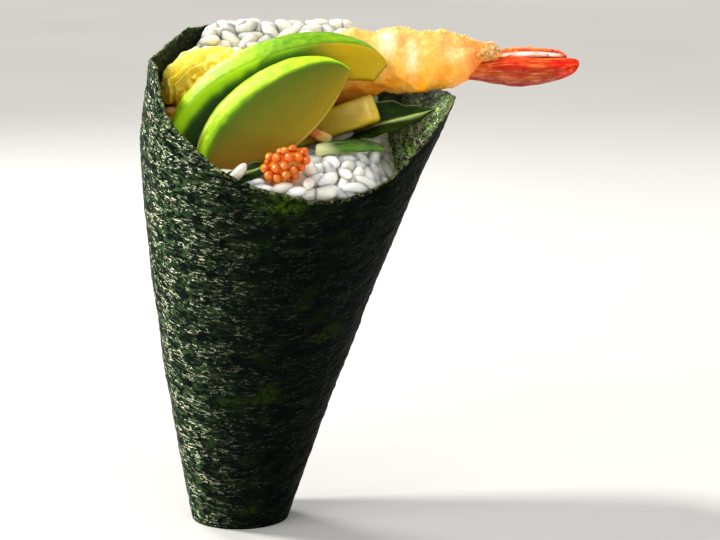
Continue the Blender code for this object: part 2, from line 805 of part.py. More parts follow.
def clearance_shapes():
    """What the rice is cut by: each filling that lies in it, larger by the gap."""
    grow = GAP
    smooth_prawn = loft(tube(PRAWN[1:], PRAWN_DEPTH, 16, 14, grow=grow + 0.9 * CRAG))
    shapes = [
        smooth_prawn,
        slice_bm(FRONT_SLICE, grow),
        slice_bm(BACK_SLICE, grow),
        box_bm(grown_size(BATON_SIZE, grow), baton_centre(), BATON_RISE),
        box_bm(grown_size(MEAT_SIZE, grow), MEAT_CENTRE, MEAT_TILT),
        *[sheet_bm(wider_grid(grid, grow), LEAF_THICKNESS + 3 * grow) for grid in leaf_grids()],
        loft(scallion_rings(grow)),
        loft(roe_core_rings(grow)),
    ]
    return [add_object("clearance", bm) for bm in shapes]


def add_grains(rice, neighbours):
    """Grains fused onto the open top of the rice, most of them lying down."""
    rng = random.Random(5)
    draw = surface_points(rice, rng)
    trees = [tree_of(obj) for obj in neighbours]
    places, grains = [], []
    for _ in range(GRAIN_TRIES):
        point, normal = next(draw)
        is_top = point.z > TOP_ABOVE and normal.z > 0.15
        if not is_top or len(grains) >= GRAIN_COUNT:
            continue
        length = GRAIN_LENGTH * rng.uniform(0.85, 1.1)
        width = GRAIN_WIDTH * rng.uniform(0.9, 1.1)
        centre = point + normal * (GRAIN_SINK * width)
        heading = normal.orthogonal().normalized()
        heading.rotate(Matrix.Rotation(rng.uniform(0, TURN), 3, normal))
        heading = (heading + normal * rng.uniform(-0.25, 0.45)).normalized()
        far_enough = all((centre - other).length > GRAIN_SPACING for other in places)
        along = [centre + heading * (share * length) for share in (-0.33, 0, 0.33)]
        if far_enough and is_clear(trees, along, 0.52 * width):
            places.append(centre)
            grains.append(placed_seed(length, width, centre, heading, rng.uniform(0, TURN)))
    apply_boolean(rice, grains, "UNION")


def main():
    clear_scene()
    nori = make_nori()
    fillings = [make_prawn_body(), make_prawn_tail(), *make_slices(), make_baton(), make_meat()]
    fillings += [*make_leaves(), make_scallion()]
    rice = make_rice_core()
    apply_boolean(rice, clearance_shapes(), "DIFFERENCE")
    roe = make_roe([nori, rice, *fillings])
    add_grains(rice, [nori, roe, *fillings])


main()
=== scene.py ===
"""Looks of the spicy hand roll: fine pieces in the places of the solids, with materials, light and camera."""

import random
from math import acos, copysign, cos, degrees, exp, hypot, pi, radians, sin, sqrt, tan

import bmesh
import bpy
from mathutils import Matrix, Vector, noise
from mathutils.bvhtree import BVHTree


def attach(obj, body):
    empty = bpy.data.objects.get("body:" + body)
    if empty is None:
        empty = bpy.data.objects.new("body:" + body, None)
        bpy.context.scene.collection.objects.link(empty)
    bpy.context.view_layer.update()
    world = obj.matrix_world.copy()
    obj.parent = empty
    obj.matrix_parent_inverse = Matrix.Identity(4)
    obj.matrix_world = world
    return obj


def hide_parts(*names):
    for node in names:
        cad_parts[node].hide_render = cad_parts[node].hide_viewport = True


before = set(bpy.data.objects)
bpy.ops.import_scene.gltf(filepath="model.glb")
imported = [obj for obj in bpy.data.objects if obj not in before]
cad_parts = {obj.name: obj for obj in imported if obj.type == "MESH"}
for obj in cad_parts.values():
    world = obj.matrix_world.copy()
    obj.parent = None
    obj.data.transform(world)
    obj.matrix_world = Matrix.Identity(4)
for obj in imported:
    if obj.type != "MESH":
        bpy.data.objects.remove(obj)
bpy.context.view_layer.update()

MM = 0.001
TURN = 2 * pi
BODY = "root"

# The roll, as in the solids: an oval cone that leans and bends to the right
BASE_HALF = 12.2 * MM
FLARE = 0.261
FLARE_EASE = 0.12
SIDE_LEAN = 0.077
SIDE_BEND = 0.58
FRONT_LEAN = 0.02
BASE_OVAL = 0.95
OVAL_RATE = 1.3
WALL = 0.8 * MM
FLOOR = 2.0 * MM
SEAM = radians(75)
OVERLAP_SHARE = 6 / 64
RIPPLE = 0.55 * MM
RIPPLE_HEIGHT = 17 * MM
RIM_NICKS = 0.5 * MM
CURL = 3.6 * MM
CURL_ANGLE = radians(166)
CURL_SPAN = (96 * MM, 121 * MM)
RIM = (
    (0, 109.5), (24, 111.2), (60, 117.5), (90, 122.0), (120, 125.9), (140, 126.2), (157, 122.6),
    (180, 119.6), (203, 118.9), (216, 108.3), (231, 101.6), (250, 94.1), (268, 90.7), (288, 87.8),
    (304, 89.0), (318, 92.3), (330, 98.0), (345, 104.0),
)
NORI_COLUMNS = 372
OUTER_ROWS = 196
INNER_ROWS = 60
CONE_SINE = 0.25
FRONT = radians(270)
RIM_SHIFT = 0.18 * WALL  # how far each side closes in at the rim
CREASE_TOP, CREASE_FOOT = (-33.1, 128.0), (-30.9, 119.7)  # a short dent at the left, on the flat sheet
PAINTED_GLINTS_AT, PAINTED_GLINTS_REACH = radians(-148), radians(30)  # where glints are painted on the outside, and how far round

# The rice
CREST = (
    (-31, 87.5), (-21, 95.0), (-12, 96.0), (-8, 97.5), (-4, 102.0), (0, 104.0), (6, 107.0), (12, 117.0),
    (17, 124.0), (23, 125.5), (28, 122.5), (33, 117.0),
)
LEFT_SLOPE = ((-31, 93.0), (-12, 96.5), (-6, 102.0), (0, 104.0), (10, 105.0), (31, 108.0))
RIGHT_LEVEL = 84.0
CREST_SPAN = (-6 * MM, 27 * MM)
LEFT_END = -15 * MM
RIGHT_END = 41 * MM
BELOW_RIM = 1.3 * MM
CREST_RISE = 26 * MM
FROM_WALL = 1.1 * WALL + 0.35 * MM
RICE_BUMPS = 0.8 * MM
CORE_SIDES = 110
CORE_RINGS = 34
CORE_LOWER = 0.4 * MM
NEAR_RICE = (
    "shrimp_body", "avocado_front", "avocado_back", "roe", "radish_baton", "crab_piece", "leaf", "leaf_end",
    "scallion", "nori",
)
GRAIN_LENGTH = 7.0 * MM
GRAIN_WIDTH = 3.4 * MM
GRAIN_RINGS = 9
GRAIN_SIDES = 10
GRAIN_FLOOR = 80 * MM
GRAIN_COUNT = 460
GRAIN_TRIES = 30000
GRAIN_APART = 2.75 * MM
LEFT_PAINTED_SHADE = (-16.8, 1.5, 105.0)  # where warm shade of the prawn's left end is painted on the rice
LONE_GRAIN = ((1.7, 87.6, -43.5), radians(45))  # beside the leaf end: its place and its rise

# The fillings' leaning frame: x, up the lean, and depth
LEAN = radians(11)

PRAWN_DEPTH = -16.0 * MM
PRAWN = (
    (-19.6, 111.4, 0.4, 0.4), (-18.8, 111.4, 2.8, 2.6), (-16.6, 111.7, 5.2, 4.9), (-12.0, 112.2, 7.8, 7.4),
    (-5.6, 111.7, 8.9, 8.4), (2.0, 110.9, 8.9, 8.6), (7.9, 112.7, 9.1, 8.7), (16.0, 114.5, 9.1, 8.8),
    (23.6, 114.9, 9.3, 8.8), (29.2, 116.2, 9.2, 8.7), (35.1, 117.4, 7.9, 7.8), (41.4, 117.9, 8.6, 8.2),
    (47.8, 117.5, 7.6, 7.3), (52.9, 117.8, 7.1, 6.8), (58.0, 117.8, 5.6, 5.6), (63.3, 117.9, 3.9, 4.2),
    (67.0, 117.9, 2.7, 3.0), (69.0, 118.0, 1.6, 1.7),
)
BATTER_SIDES = 190
BATTER_RINGS = 330
CRAG = 1.0 * MM
CRAG_SIZE = 6.0 * MM
# Painted highlights on the batter: x, up, width, height and strength of each
PAINTED_HIGHLIGHT_SPOTS = ((38.3, 121.5, 2.2, 3.4, 0.9), (44.4, 118.0, 1.5, 4.0, 0.9), (55.8, 119.0, 3.2, 2.6, 0.4))
ORANGE_FOLD = (60.6, 117.8, 1.3, 3.0)
BATTER_END = (60.3, 115.0)
BATTER_END_SLOPE = radians(36)
BATTER_LAST = 66.5
ROOT_UP, ROOT_HALF = 117.8, 4.4  # the heights where the batter ends
CRAG_COUNT = 34
CRUMB_COUNT = 230
LOWER_LOBE = (
    (57.0, 115.0, 1.6, 1.7), (61.0, 115.3, 2.6, 2.7), (66.0, 115.2, 3.3, 3.4), (71.0, 115.0, 3.8, 3.6),
    (77.0, 115.1, 3.3, 3.2), (82.5, 115.8, 2.6, 2.5), (85.6, 116.5, 1.7, 1.7), (87.0, 117.1, 0.4, 0.4),
)
UPPER_LOBE = (
    (62.0, 118.2, 1.0, 1.6), (66.0, 118.9, 1.5, 2.2), (71.0, 119.5, 1.7, 2.4), (77.0, 119.6, 1.5, 2.1),
    (82.0, 119.3, 1.0, 1.5), (84.0, 118.9, 0.3, 0.4),
)
UPPER_LOBE_BACK = 1.3 * MM

SLICE_STEPS = 110
SLICE_THICKNESS = 5.9
SKIN_BEVEL = 4.6
LIP_SHARE = 0.08
SLICE_LAYERS = ((0.0, 0.0), (0.3, 0.14), (0.62, 0.42), (0.86, 0.74), (1.0, 1.0))
FRONT_SLICE = dict(low=(-7.4, 86.3), high=(29.0, 113.1), depth=-33.0, skin=14.0, stone=-7.0, lip=0.0)
NO_OVAL = 9.0  # far outside the front slice's fine oval lines
FIBRE_CENTRE, FIBRE_HALF = (16.3, -0.6), (9.5, 3.8)  # of those lines: x, out from the chord
BACK_SLICE = dict(low=(-15.6, 93.8), high=(38.0, 115.2), depth=-26.7, skin=17.4, stone=3.3, lip=2.7)

BATON_SIZE = (26.0, 8.0, 7.1)
BATON_END = (35.45, 104.85, -25.5)
BATON_RISE = radians(18.4)

LEAF = (
    (14.0, 92.8, -23.2, -2.6, -5.5, 0.6, 2.0), (19.0, 94.8, -22.2, -2.0, -6.4, 1.8, 1.6),
    (24.0, 96.7, -21.0, -1.7, -8.0, 3.0, 0.6), (30.5, 98.8, -20.5, -2.3, -9.4, 4.8, 0.6),
    (36.5, 101.0, -20.1, -3.0, -7.2, 6.3, 0.9), (43.8, 103.2, -18.8, -2.6, -3.5, 2.9, 0.7),
    (50.2, 105.0, -17.6, -0.2, -0.2, 0.2, 0.1),
)
LEAF_END = (
    (-3.5, 85.7, -40.3, -0.6, -1.0, 0.6, 0.5), (1.0, 87.2, -40.8, -1.9, -2.6, 1.5, 1.0),
    (5.0, 88.3, -41.0, -2.3, -3.0, 1.9, 1.2), (8.6, 89.5, -40.9, -1.6, -2.0, 1.3, 0.8),
)
LEAF_THICKNESS = 0.4 * MM
SCALLION = (
    (20.4, 93.6, -35.3, 1.55), (24.0, 94.3, -35.5, 1.65), (28.5, 94.7, -35.6, 1.6),
    (33.0, 94.7, -35.4, 1.35), (36.0, 94.3, -35.2, 0.9), (37.6, 93.8, -35.1, 0.25),
)
MEAT_CENTRE = (21.5, 97.5, -31.35)
MEAT_SIZE = (5.6, 2.5, 2.7)
MEAT_TILT = radians(-24)
ROE_CENTRE = (13.6, 89.9, -43.2)
ROE_HALF = (5.3, 3.0, 3.3)
ROE_RISE = radians(28)
BEAD = 1.15 * MM
BEAD_PAINTED_GLINT = (-0.35, -0.8, 0.5)  # the side of each bead where a glint is painted
BEAD_APART = 1.72 * BEAD
BEAD_TRIES = 9000
NEAR_ROE = ("avocado_front", "leaf_end", "nori", "crab_piece", "scallion")

# Light and camera: each area light's name, place, aim, size, power, colour and spread in degrees
MIDDLE = (0.02, -0.005, 0.09)
LIGHTS = (
    ("fill", (0.45, -0.9, 0.45), MIDDLE, 0.6, 1.3, (1.0, 0.99, 0.96), 180),
    ("low_right", (0.22, -0.38, 0.0), (0.045, 0, 0.105), 0.12, 0.5, (1.0, 0.86, 0.62), 180),
    ("top", (0.12, -0.22, 0.64), MIDDLE, 0.3, 0.9, (1, 1, 1), 180),
    ("mouth", (-0.06, -0.46, 0.25), (0.051, 0.01, 0.1), 0.01, 0.0028, (1, 0.99, 0.94), 4),
    ("front_left", (-0.25, -0.45, 0.55), MIDDLE, 0.2, 1.1, (1, 1, 1), 180),
    ("low_left", (-0.60, -0.20, 0.09), (0, 0, 0.07), 0.12, 3.0, (1, 1, 1), 180),
    ("back_left", (-0.38, 0.50, 0.46), MIDDLE, 0.25, 4.5, (1, 1, 1), 180),
    ("back_right", (0.5, 0.55, 0.4), MIDDLE, 0.4, 1.0, (0.9, 0.95, 1.0), 180),
)
KEY_WAY, KEY_POWER, KEY_ANGLE, KEY_COLOUR = (0.60, -0.10, -0.79), 3.5, radians(9), (1.0, 0.97, 0.92)
AIR_COLOUR, AIR_POWER = (1.0, 0.99, 0.97, 1), 0.42
FLOOR_REACH = 6.0
CAMERA_PLACE, CAMERA_LENS = (0.03126, -0.50338, 0.16340), 100


# Shape helpers, as in the solids

def leaning(x, up, depth):
    """The place in the fillings' leaning frame, as a world point."""
    return Vector((x, up * sin(LEAN) + depth * cos(LEAN), up * cos(LEAN) - depth * sin(LEAN)))


def leaning_mm(x, up, depth):
    """The same for lengths in millimetres."""
    return leaning(x * MM, up * MM, depth * MM)


def around(count):
    """Angles at equal steps round a full turn."""
    return [TURN * i / count for i in range(count)]


def slope_at(stations, n, k):
    low = max(n - 1, 0)
    high = min(n + 1, len(stations) - 1)
    return (stations[high][k] - stations[low][k]) / (stations[high][0] - stations[low][0])


def through(stations, place):
    """The values at a place on smooth curves through stations of (place, value, ...)."""
    place = min(max(place, stations[0][0]), stations[-1][0])
    n = next(i for i in range(len(stations) - 1) if place <= stations[i + 1][0])
    start, end = stations[n], stations[n + 1]
    span = end[0] - start[0]
    t = (place - start[0]) / span
    values = []
    for k in range(1, len(start)):
        leave = slope_at(stations, n, k) * span
        arrive = slope_at(stations, n + 1, k) * span
        values.append(
            start[k] * (1 + 2 * t) * (1 - t) ** 2 + leave * t * (1 - t) ** 2
            + end[k] * t * t * (3 - 2 * t) - arrive * t * t * (1 - t)
        )
    return values


def ease(low, high, value):
    t = min(max((value - low) / (high - low), 0), 1)
    return t * t * (3 - 2 * t)


def wave(*place):
    """Smooth noise from -1 to 1 at a place, with features about one unit across."""
    return noise.noise(Vector(place))


def ring_wave(angle, rate, level):
    """Smooth noise round a ring."""
    return wave(rate * cos(angle), rate * sin(angle), level)


def wave_over(place, size, shift=(0, 0, 0)):
    """Smooth noise at a vector, with features about this size across."""
    return noise.noise(place / size + Vector(shift))


def section(z):
    half = BASE_HALF + FLARE * z - FLARE_EASE * z * z
    return SIDE_LEAN * z + SIDE_BEND * z * z, -FRONT_LEAN * z, half, half * (BASE_OVAL - OVAL_RATE * z)


def rim_height(angle):
    turn = degrees(angle) % 360
    closed = [(RIM[-1][0] - 360, RIM[-1][1]), *RIM, (RIM[0][0] + 360, RIM[0][1])]
    nick = RIM_NICKS * ring_wave(angle, 9, 3.7)
    return through(closed, turn)[0] * MM + nick


def ripple(angle, z, rim):
    """How far the sheet stands out of the true cone."""
    swell = ring_wave(angle, 2.6, z / RIPPLE_HEIGHT)
    rise = z / rim
    return RIPPLE * swell * ease(0, 0.15, rise) * (0.5 + rise ** 4)


def wall_point(angle, z, inward, rim=None):
    middle_x, middle_y, half_x, half_y = section(z)
    facing = max(0.0, cos(angle - CURL_ANGLE)) ** 2
    out = ripple(angle, z, rim or rim_height(angle)) - inward - CURL * facing * ease(*CURL_SPAN, z)
    across = (half_x + out) * cos(angle)
    return Vector((middle_x + across, middle_y + (half_y + out) * sin(angle), z))


# Colour and node helpers; colours of three values are display values, from 0 to 255

def linear(colour):
    """The linear colour for display values; a linear colour stays as it is."""
    if len(colour) == 4:
        return colour
    shares = [level / 255 for level in colour]
    return (*(share / 12.92 if share < 0.04 else ((share + 0.055) / 1.055) ** 2.4 for share in shares), 1.0)


def layered(colour, *coats):
    """The linear colour of one with others laid over it in turn, each with its share."""
    colour = linear(colour)
    for coat, share in coats:
        share = min(max(share, 0), 1)
        colour = tuple(a + (b - a) * share for a, b in zip(colour, linear(coat)))
    return colour


class Look:
    """One Principled material, put together from small procedural steps, with lengths in millimetres."""

    def __init__(self, name, soft=(), **fixed):
        """Soft gives the weight, scale and radius of the light that spreads inside."""
        self.material = bpy.data.materials.new(name)
        self.material.use_nodes = True
        self.nodes = self.material.node_tree.nodes
        self.shader = self.nodes["Principled BSDF"]
        fixed.update(zip(("Subsurface_Weight", "Subsurface_Scale", "Subsurface_Radius"), soft))
        for key, value in fixed.items():
            self.shader.inputs[key.replace("_", " ")].default_value = value

    def put(self, socket, value):
        if isinstance(value, bpy.types.NodeSocket):
            self.material.node_tree.links.new(value, socket)
        else:
            socket.default_value = linear(value) if socket.type == "RGBA" else value

    def add(self, kind, inputs, **settings):
        node = self.nodes.new("ShaderNode" + kind)
        for key, value in settings.items():
            setattr(node, key, value)
        for key, value in inputs.items():
            self.put(node.inputs[key], value)
        return node

    def place(self, sizes, uv=None):
        """Coordinates that grow by one over these lengths; one length stands for all three."""
        source = self.add("UVMap", {}, uv_map=uv) if uv else self.add("TexCoord", {})
        lengths = sizes if isinstance(sizes, tuple) else (sizes,) * 3
        scale = [1 / (length * MM) for length in lengths] + [1] * (3 - len(lengths))
        return self.add("Mapping", {"Vector": source.outputs["UV" if uv else "Object"], "Scale": scale}).outputs[0]

    def noise(self, sizes, detail=3.0, uv=None, warp=0.0, rough=0.55):
        inputs = {
            "Vector": self.place(sizes, uv), "Scale": 1.0, "Detail": detail, "Roughness": rough, "Distortion": warp,
        }
        return self.add("TexNoise", inputs).outputs["Fac"]

    def ramp(self, value, *stops):
        node = self.add("ValToRGB", {0: value})
        elements = node.color_ramp.elements
        while len(elements) < len(stops):
            elements.new(0.5)
        for element, (place, colour) in zip(elements, stops):
            element.position = place
            element.color = linear(colour) if isinstance(colour, tuple) else (colour, colour, colour, 1)
        return node.outputs["Color"]

    def mix(self, factor, first, second, mode="MIX"):
        return self.add("Mix", {0: factor, 6: first, 7: second}, data_type="RGBA", blend_type=mode).outputs[2]

    def layers(self, colour, *coats):
        """A colour with others mixed over it in turn, each after its factor."""
        for factor, coat in coats:
            colour = self.mix(factor, colour, coat)
        return colour

    def maths(self, operation, first, second):
        return self.add("Math", {0: first, 1: second}, operation=operation).outputs[0]

    def times(self, first, second):
        return self.maths("MULTIPLY", first, second)

    def bump(self, height, distance, strength=1.0, under=None):
        inputs = {"Height": height, "Distance": distance * MM, "Strength": strength}
        if under:
            inputs["Normal"] = under
        return self.add("Bump", inputs).outputs[0]

    def value(self, name, output="Fac"):
        return self.add("Attribute", {}, attribute_name=name).outputs[output]

    def tint(self):
        return self.value("tint", "Color")

    def finish(self, colour, normal=None, roughness=None):
        for name, value in (("Base Color", colour), ("Normal", normal), ("Roughness", roughness)):
            if value:
                self.put(self.shader.inputs[name], value)
        return self.material


# Mesh helpers

def link(name, data):
    """A new object in the scene."""
    made = bpy.data.objects.new(name, data)
    bpy.context.scene.collection.objects.link(made)
    return made


def grid_faces(rows, columns, closed=False):
    faces = []
    for row in range(rows - 1):
        low, high = row * columns, (row + 1) * columns
        for column in range(columns if closed else columns - 1):
            after = (column + 1) % columns
            faces.append((low + column, low + after, high + after, high + column))
    return faces


def loft(rings):
    """Points and faces of a closed solid through rings of points."""
    sides = len(rings[0])
    points = [point for ring in rings for point in ring]
    faces = grid_faces(len(rings), sides, closed=True)
    for ring, row in ((rings[0], 0), (rings[-1], len(rings) - 1)):
        centre = len(points)
        points.append(sum(ring, Vector()) / sides)
        faces += [(row * sides + i, row * sides + (i + 1) % sides, centre) for i in range(sides)]
    return points, faces


def by_name(rows):
    """Lists of values under their names, from the named values of each point."""
    return {name: [row[name] for row in rows] for name in rows[0]}


class Shape:
    """Points, faces and named values for each point, gathered for one mesh."""

    def __init__(self):
        self.points, self.faces, self.values = [], [], {}

    def add(self, points, faces, **values):
        start = len(self.points)
        self.points.extend(points)
        self.faces.extend(tuple(start + i for i in face) for face in faces)
        for key, value in values.items():
            spread = value if isinstance(value, list) else [value] * len(points)
            self.values.setdefault(key, []).extend(spread)

    def make(self, name, look, slot, *nodes, uv=None):
        mesh = bpy.data.meshes.new(name)
        mesh.from_pydata(self.points, [], self.faces)
        for key, values in self.values.items():
            if isinstance(values[0], tuple):
                layer = mesh.attributes.new(key, "FLOAT_COLOR", "POINT")
                layer.data.foreach_set("color", [part for value in values for part in value])
            else:
                layer = mesh.attributes.new(key, "FLOAT", "POINT")
                layer.data.foreach_set("value", values)
        if uv:
            layer = mesh.uv_layers.new(name="sheet")
            layer.data.foreach_set("uv", [part for loop in mesh.loops for part in uv[loop.vertex_index]])
        bm = bmesh.new()
        bm.from_mesh(mesh)
        bmesh.ops.remove_doubles(bm, verts=bm.verts, dist=0.0005 * MM)
        bmesh.ops.recalc_face_normals(bm, faces=bm.faces)
        bm.to_mesh(mesh)
        bm.free()
        mesh.shade_smooth()
        mesh.materials.append(look)
        piece = link(name, mesh)
        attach(piece, BODY)
        if nodes:
            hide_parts(*nodes)


def make_lofted(name, look, slot, node, rings, **values):
    """One piece through rings of points; lists of values end with those of the two end middles."""
    shape = Shape()
    shape.add(*loft(rings), **values)
    shape.make(name, look, slot, node)


def ball(detail):
    """Unit sphere points and faces."""
    bm = bmesh.new()
    bmesh.ops.create_icosphere(bm, subdivisions=detail, radius=1)
    points = [vertex.co.copy() for vertex in bm.verts]
    faces = [tuple(vertex.index for vertex in face.verts) for face in bm.faces]
    bm.free()
    return points, faces


class Solid:
    """A CAD node's surface, to keep scattered things out of it."""

    def __init__(self, node):
        bm = bmesh.new()
        bm.from_mesh(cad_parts[node].data)
        self.tree = BVHTree.FromBMesh(bm)
        bm.free()

    def near(self, point, reach):
        """Whether the point lies inside the solid or within this reach of it."""
        if self.tree.find_nearest(point, reach)[0]:
            return True
        crossings, spot = 0, point.copy()
        while True:
            hit = self.tree.ray_cast(spot, Vector((0, 0, 1)))[0]
            if not hit:
                return crossings % 2 == 1
            crossings += 1
            spot = hit + Vector((0, 0, 0.001 * MM))


# The nori

def sheet_place(angle, z):
    """Where a point of the roll lies on the flat sheet, in millimetres: the cone unrolled."""
    reach = section(z)[2] / MM / CONE_SINE
    swing = (angle - FRONT) * CONE_SINE
    return reach * sin(swing), reach * cos(swing)


def sheet_relief(s, t):
    """Low ridges along the sheet's rows, over broader lumps, in metres."""
    sway = 1.5 * wave(s / 11, t / 17, 1.5)
    rows = wave(s / 3.6, (t + sway) / 1.2, 2.5)
    short = wave(s / 1.7, (t + sway) / 1.0, 5.5)
    lumps = wave(s / 6, t / 6, 7.5)
    along = min(max((CREASE_TOP[1] - t) / (CREASE_TOP[1] - CREASE_FOOT[1]), 0), 1)
    middle = CREASE_TOP[0] + (CREASE_FOOT[0] - CREASE_TOP[0]) * along + 0.5 * wave(t / 2.2, 3.3, 1.1)
    past = max(t - CREASE_TOP[1], CREASE_FOOT[1] - t, 0)
    crease = exp(-((s - middle) / 0.55) ** 2 - (past / 1.2) ** 2)
    return (0.22 * rows + 0.13 * short + 0.2 * lumps - 0.8 * crease) * MM


def wetness(angle, z):
    """How wet and green the inside is: most at the right, by the rice."""
    turn = degrees((angle + pi) % TURN - pi)
    limit = 105 + 0.35 * (25 - turn)
    dry = 0.85 * ease(limit - 1.5, limit + 1.5, z / MM)
    return exp(-((turn - 22) / 26) ** 2) * ease(70 * MM, 86 * MM, z) * (1 - dry)


def frayed(angle):
    """How strongly glints are painted on the outside: painted highlights of pale flecks and a painted sheen, most at
    the front's left where the light falls, and a few at the back.
    """
    turn = (angle - PAINTED_GLINTS_AT + pi) % TURN - pi
    return min(1.0, 0.02 + exp(-(turn / PAINTED_GLINTS_REACH) ** 2) + 0.2 * ease(0.1, 0.8, sin(angle)))


def inner_relief(angle, s, t, z):
    """The crumpled inside, strongest where it's wet."""
    strong = 0.35 + 0.65 * wetness(angle, z)
    folds = abs(wave(s / 3.4, t / 2.6, 11.5))
    fine = abs(wave(s / 1.5, t / 1.3, 13.5))
    return strong * (2.0 * folds + 0.9 * fine - 0.45) * MM


def thin_spot(s, t):
    """Where the sheet is thin and green: one spot below the front rim, and a few by chance."""
    front = exp(-(((s - 2) / 5) ** 2 + ((t - 136.5) / 3) ** 2)) * ease(-0.5, 0.2, wave(s / 1.6, t / 1.6, 3.1))
    return min(1.0, 0.8 * front + 0.14 * ease(0.4, 0.7, wave(s / 9 + 5, t / 5, 21.5)))


def make_nori():
    shape = Shape()
    uv, edges = [], {}
    shares = [i / NORI_COLUMNS for i in range(NORI_COLUMNS + 1)]
    overlap = round(NORI_COLUMNS * OVERLAP_SHARE)
    for share in shares:
        angle = SEAM + TURN * share
        rim = rim_height(angle)
        ragged = (0.35 * ring_wave(angle, 30, 1.2) + 0.2 * ring_wave(angle, 75, 5.2)) * MM
        edges[share] = (angle, rim, rim + ragged)

    def add_rows(count, foot, columns, inside):
        points, values = [], []
        for row in range(count + 1):
            rise = row / count
            if inside:
                rise = rise * 3.8 if rise < 0.2 else 0.76 + (rise - 0.2) * 0.3
            for share, inward in columns:
                angle, rim, top = edges[share]
                z = foot + rise * (top - foot)
                s, t = sheet_place(angle, z)
                close = RIM_SHIFT * ease(top - 2.5 * MM, top, z)
                if inside:
                    place = inward - close + ease(foot, foot + 6 * MM, z) * inner_relief(angle, s, t, z)
                else:
                    place = inward + close - sheet_relief(s, t) * ease(0, 4 * MM, z)
                points.append(wall_point(angle, z, place, rim))
                uv.append((s * MM, t * MM))
                values.append({
                    "inside": float(inside), "thin": thin_spot(s, t), "wet": wetness(angle, z),
                    "edge": ease(top - 0.9 * MM, top - 0.1 * MM, z), "frayed": frayed(angle),
                })
        shape.add(points, grid_faces(count + 1, len(columns), closed=not inside), **by_name(values))
        return len(columns)

    outer = add_rows(OUTER_ROWS, 0, [(share, (share - 1) * WALL) for share in shares], False)
    start = len(shape.points)
    first = [(share, (1 + share) * WALL) for share in shares[:overlap + 1]]
    second = [(share, share * WALL) for share in shares[overlap:]]
    inner = add_rows(INNER_ROWS, FLOOR, first + second, True)
    top_out, top_in = OUTER_ROWS * outer, start + INNER_ROWS * inner
    for i in range(NORI_COLUMNS):
        j = i if i < overlap else i + 1
        shape.faces.append((top_out + i, top_out + i + 1, top_in + j + 1, top_in + j))
    shape.faces.append((top_out, top_out + NORI_COLUMNS, top_in))
    shape.faces.append((top_out + overlap, top_in + overlap, top_in + overlap + 1))
    centre = len(shape.points)
    shape.faces += [(i, (i + 1) % outer, centre) for i in range(outer)]
    shape.faces += [(start + i, start + (i + 1) % inner, centre + 1) for i in range(inner)]
    shape.add([Vector((0, 0, 0)), Vector((0, 0, FLOOR))], [], **dict.fromkeys(shape.values, 0.0))
    uv.extend([(0, 0)] * 2)
    shape.make("nori_sheet", nori_look(), "nori_sheet", "nori", uv=uv)


